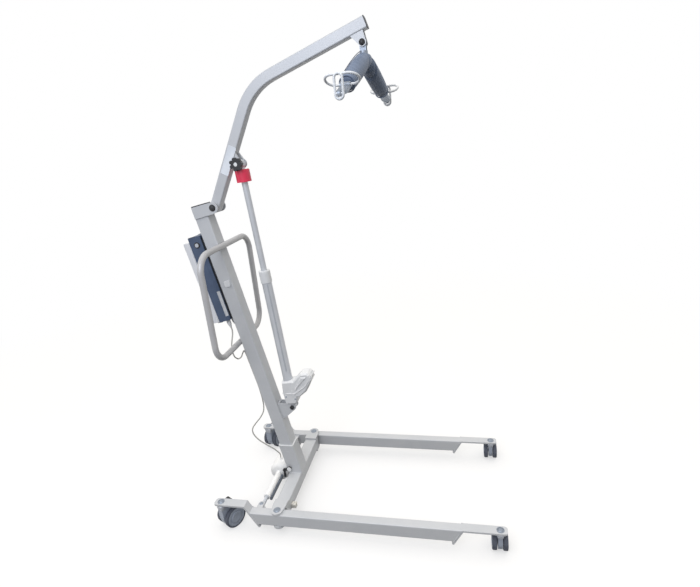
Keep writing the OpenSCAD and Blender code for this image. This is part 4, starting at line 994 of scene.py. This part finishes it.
def addCylinderSlotShade(c):
    top = (liftFrame.inverted() @ boxMiddle("guide_ring")).z / mm - c["below"]
    for k, degrees in enumerate(c["angles"]):
        angle = math.radians(degrees)
        away = Vector((math.sin(angle), -math.cos(angle), 0))
        path = []
        for z in (c["from"], top):
            start = liftFrame @ ((away * c["out"] + Vector((0, 0, z))) * mm)
            path.append(onSurface("lift_cylinder", start, liftFrame.to_3x3() @ -away))
        obj = tubeMesh("cylinderSlotShade" + str(k + 1), path, c["radius"] * mm, resolution=2)
        done(obj, "lift_actuator", slotShadeAnodised, roundPiece)


addCylinderSlotShade(cylinderSlotShade)
print("gear housing detailed")


# dark lid edge and a bezel round the release button of the control box
lid = {"across": 41.5, "from": -52, "to": -85, "steps": 9, "above": 1300, "radius": 1.6,
       "bezel": [(9, -0.5), (13, -0.5), (13, 1.2), (12.2, 1.9), (9.6, 1.9), (9, 1.4), (9, -0.5)]}


def addLid(c):
    for side, name in ((-1, "near"), (1, "far")):
        path = []
        for k in range(c["steps"]):
            forward = c["from"] + (c["to"] - c["from"]) * k / (c["steps"] - 1)
            start = mastFrame @ (Vector((forward, side * c["across"], c["above"])) * mm)
            path.append(onSurface("control_housing", start, -mastUp))
        obj = tubeMesh(name + "LidEdge", path, c["radius"] * mm)
        done(obj, "base", blackNylon, roundPiece)
    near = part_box("control_housing")[0].y
    button = boxMiddle("battery_release")
    bezel = spunCap("releaseBezel", c["bezel"])
    placed(bezel, Matrix.Translation((button.x, near, button.z)) @ toNear)
    done(bezel, "base", blackNylon)


addLid(lid)
print("control box lidded")

# light cap on the lock lever's pivot
leverCap = {"profile": [(0, -0.5), (10.5, -0.5), (10.5, 1.6), (9.4, 2.6), (0, 3.0)], "out": 300}


def addLeverCap(c):
    pivot = jointPlace("lever_turn")
    near = onSurface("mast_lock_lever", (pivot.x, -c["out"] * mm, pivot.z), (0, 1, 0))
    obj = spunCap("leverCap", c["profile"])
    placed(obj, Matrix.Translation(near) @ toNear)
    done(obj, "lock_lever", whiteAbs)


addLeverCap(leverCap)

# small stop block on the front of the cross-member
stop = {"size": (22, 22, 22), "soft": 3, "at": (40.5, -189, 67)}
stopPlace = Matrix.Translation(Vector(stop["at"]) * mm)
done(block("crossMemberStop", stop["size"], stop["soft"], stopPlace), "base", creamAbs)
print("small parts added")


# grip ribs on the back of the battery
battery = {"ribs": 7, "pitch": 14, "first": 1060, "width": 60, "height": 2.4, "thick": 5, "soft": 1.6,
           "back": -117.5}


def addBatteryRibs(b):
    size = (2 * b["height"], b["width"], b["thick"])
    rib = block("ribShape", size, b["soft"], Matrix.Identity(4))
    for k in range(b["ribs"]):
        place = mastFrame @ Matrix.Translation(Vector((b["back"], 0, b["first"] + k * b["pitch"])) * mm)
        one = copied(rib, "batteryRib" + str(k + 1), place)
        done(one, "battery", paleAbs)
    bpy.data.objects.remove(rib)


addBatteryRibs(battery)
print("battery ribbed")


# floor, which fades to white with distance where it is seen, and keeps the shadow
floor = {"half": 30, "pale": 0.94, "fadeFrom": 1.6, "fadeTo": 4.0, "glow": 0.55, "bounce": "#2e3136"}


def addFloor(f):
    bpy.ops.object.select_all(action='DESELECT')
    bpy.ops.mesh.primitive_plane_add(size=2 * f["half"])
    obj = named("studioFloor")
    material = bpy.data.materials.new("paleFloor")
    material.use_nodes = True
    tree = material.node_tree
    tree.nodes.clear()
    place = addNode(tree, "ShaderNodeTexCoord").outputs["Object"]
    reach = addNode(tree, "ShaderNodeVectorMath", (), {0: place}, operation='LENGTH')
    far = addNode(tree, "ShaderNodeMapRange",
                  {"From Min": f["fadeFrom"], "From Max": f["fadeTo"], "To Min": f["glow"]},
                  {"Value": reach.outputs["Value"]})
    rays = addNode(tree, "ShaderNodeLightPath").outputs
    seen = addNode(tree, "ShaderNodeMath", (), {0: rays["Is Camera Ray"], 1: rays["Is Glossy Ray"]},
                   operation='MAXIMUM')
    blend = addNode(tree, "ShaderNodeMath", (), {0: far.outputs["Result"], 1: seen.outputs["Value"]},
                    operation='MULTIPLY')
    bounce = addNode(tree, "ShaderNodeMix", {6: (*[f["pale"]] * 3, 1), 7: linear(f["bounce"])},
                     {0: rays["Is Diffuse Ray"]}, data_type='RGBA')
    matt = addNode(tree, "ShaderNodeBsdfDiffuse", (), {"Color": bounce.outputs[2]})
    glow = addNode(tree, "ShaderNodeEmission", {"Color": (1, 1, 1, 1), "Strength": 1.0})
    both = addNode(tree, "ShaderNodeMixShader", (),
                   {0: blend.outputs["Value"], 1: matt.outputs["BSDF"], 2: glow.outputs["Emission"]})
    addNode(tree, "ShaderNodeOutputMaterial", (), {"Surface": both.outputs["Shader"]})
    obj.data.materials.append(material)


addFloor(floor)

# soft sky and one lamp: the sky is plain white where it is seen
light = {
    "sky": 0.1, "skyTint": "#f6f8fc",
    # broad soft glows in the sky: where they stand, strength, falloff, tint
    "glows": [((0, 0, 1), 1.36, 2, "#fffaf2"), ((0.85, 0.1, 0.5), 0.5, 2, "#fffdf8"),
              ((-0.85, -0.3, 0.35), 0.6, 2, "#fffdfa")],
    "lamp": {"place": (-0.1, -2.2, 2.6), "aim": (0, 0, 1.7), "size": 1.6, "power": 34,
             "tint": "#e9f0ff"},
}


def addLight(l):
    world = bpy.data.worlds.new("studio")
    bpy.context.scene.world = world
    world.use_nodes = True
    world.cycles.sampling_method = 'NONE'      # so soft a sky needs no samples of its own
    tree = world.node_tree
    tree.nodes.clear()
    rays = addNode(tree, "ShaderNodeLightPath").outputs
    seen = addNode(tree, "ShaderNodeMath", (), {0: rays["Is Camera Ray"], 1: rays["Is Glossy Ray"]},
                   operation='MAXIMUM')
    seen = addNode(tree, "ShaderNodeMath", (),
                   {0: seen.outputs["Value"], 1: rays["Is Transmission Ray"]}, operation='MAXIMUM')
    toward = addNode(tree, "ShaderNodeTexCoord").outputs["Generated"]
    even = addNode(tree, "ShaderNodeBackground", {"Color": linear(l["skyTint"]), "Strength": l["sky"]})
    sky = even.outputs["Background"]
    for place, strength, falloff, tint in l["glows"]:
        level = addNode(tree, "ShaderNodeVectorMath", {1: Vector(place).normalized()}, {0: toward},
                        operation='DOT_PRODUCT')
        for operation, value in (('MAXIMUM', 0.0), ('POWER', falloff), ('MULTIPLY', strength)):
            level = addNode(tree, "ShaderNodeMath", {1: value}, {0: level.outputs["Value"]},
                            operation=operation)
        glow = addNode(tree, "ShaderNodeBackground", {"Color": linear(tint)},
                       {"Strength": level.outputs["Value"]})
        total = addNode(tree, "ShaderNodeAddShader", (), {0: sky, 1: glow.outputs["Background"]})
        sky = total.outputs["Shader"]
    white = addNode(tree, "ShaderNodeBackground", {"Color": (1, 1, 1, 1), "Strength": 1.0})
    both = addNode(tree, "ShaderNodeMixShader", (),
                   {0: seen.outputs["Value"], 1: sky, 2: white.outputs["Background"]})
    addNode(tree, "ShaderNodeOutputWorld", (), {"Surface": both.outputs["Shader"]})
    lamp = l["lamp"]
    data = bpy.data.lights.new("nearLamp", 'AREA')
    data.size = lamp["size"]
    data.energy = lamp["power"]
    data.color = linear(lamp["tint"])[:3]
    data.cycles.use_multiple_importance_sampling = False     # less grain on the satin coats
    obj = bpy.data.objects.new("nearLamp", data)
    bpy.context.scene.collection.objects.link(obj)
    obj.location = lamp["place"]
    beam = Vector(lamp["aim"]) - Vector(lamp["place"])
    obj.rotation_euler = beam.to_track_quat('-Z', 'Y').to_euler()
    obj.visible_camera = False


addLight(light)
bpy.context.scene.view_settings.view_transform = 'Standard'
print("lit")
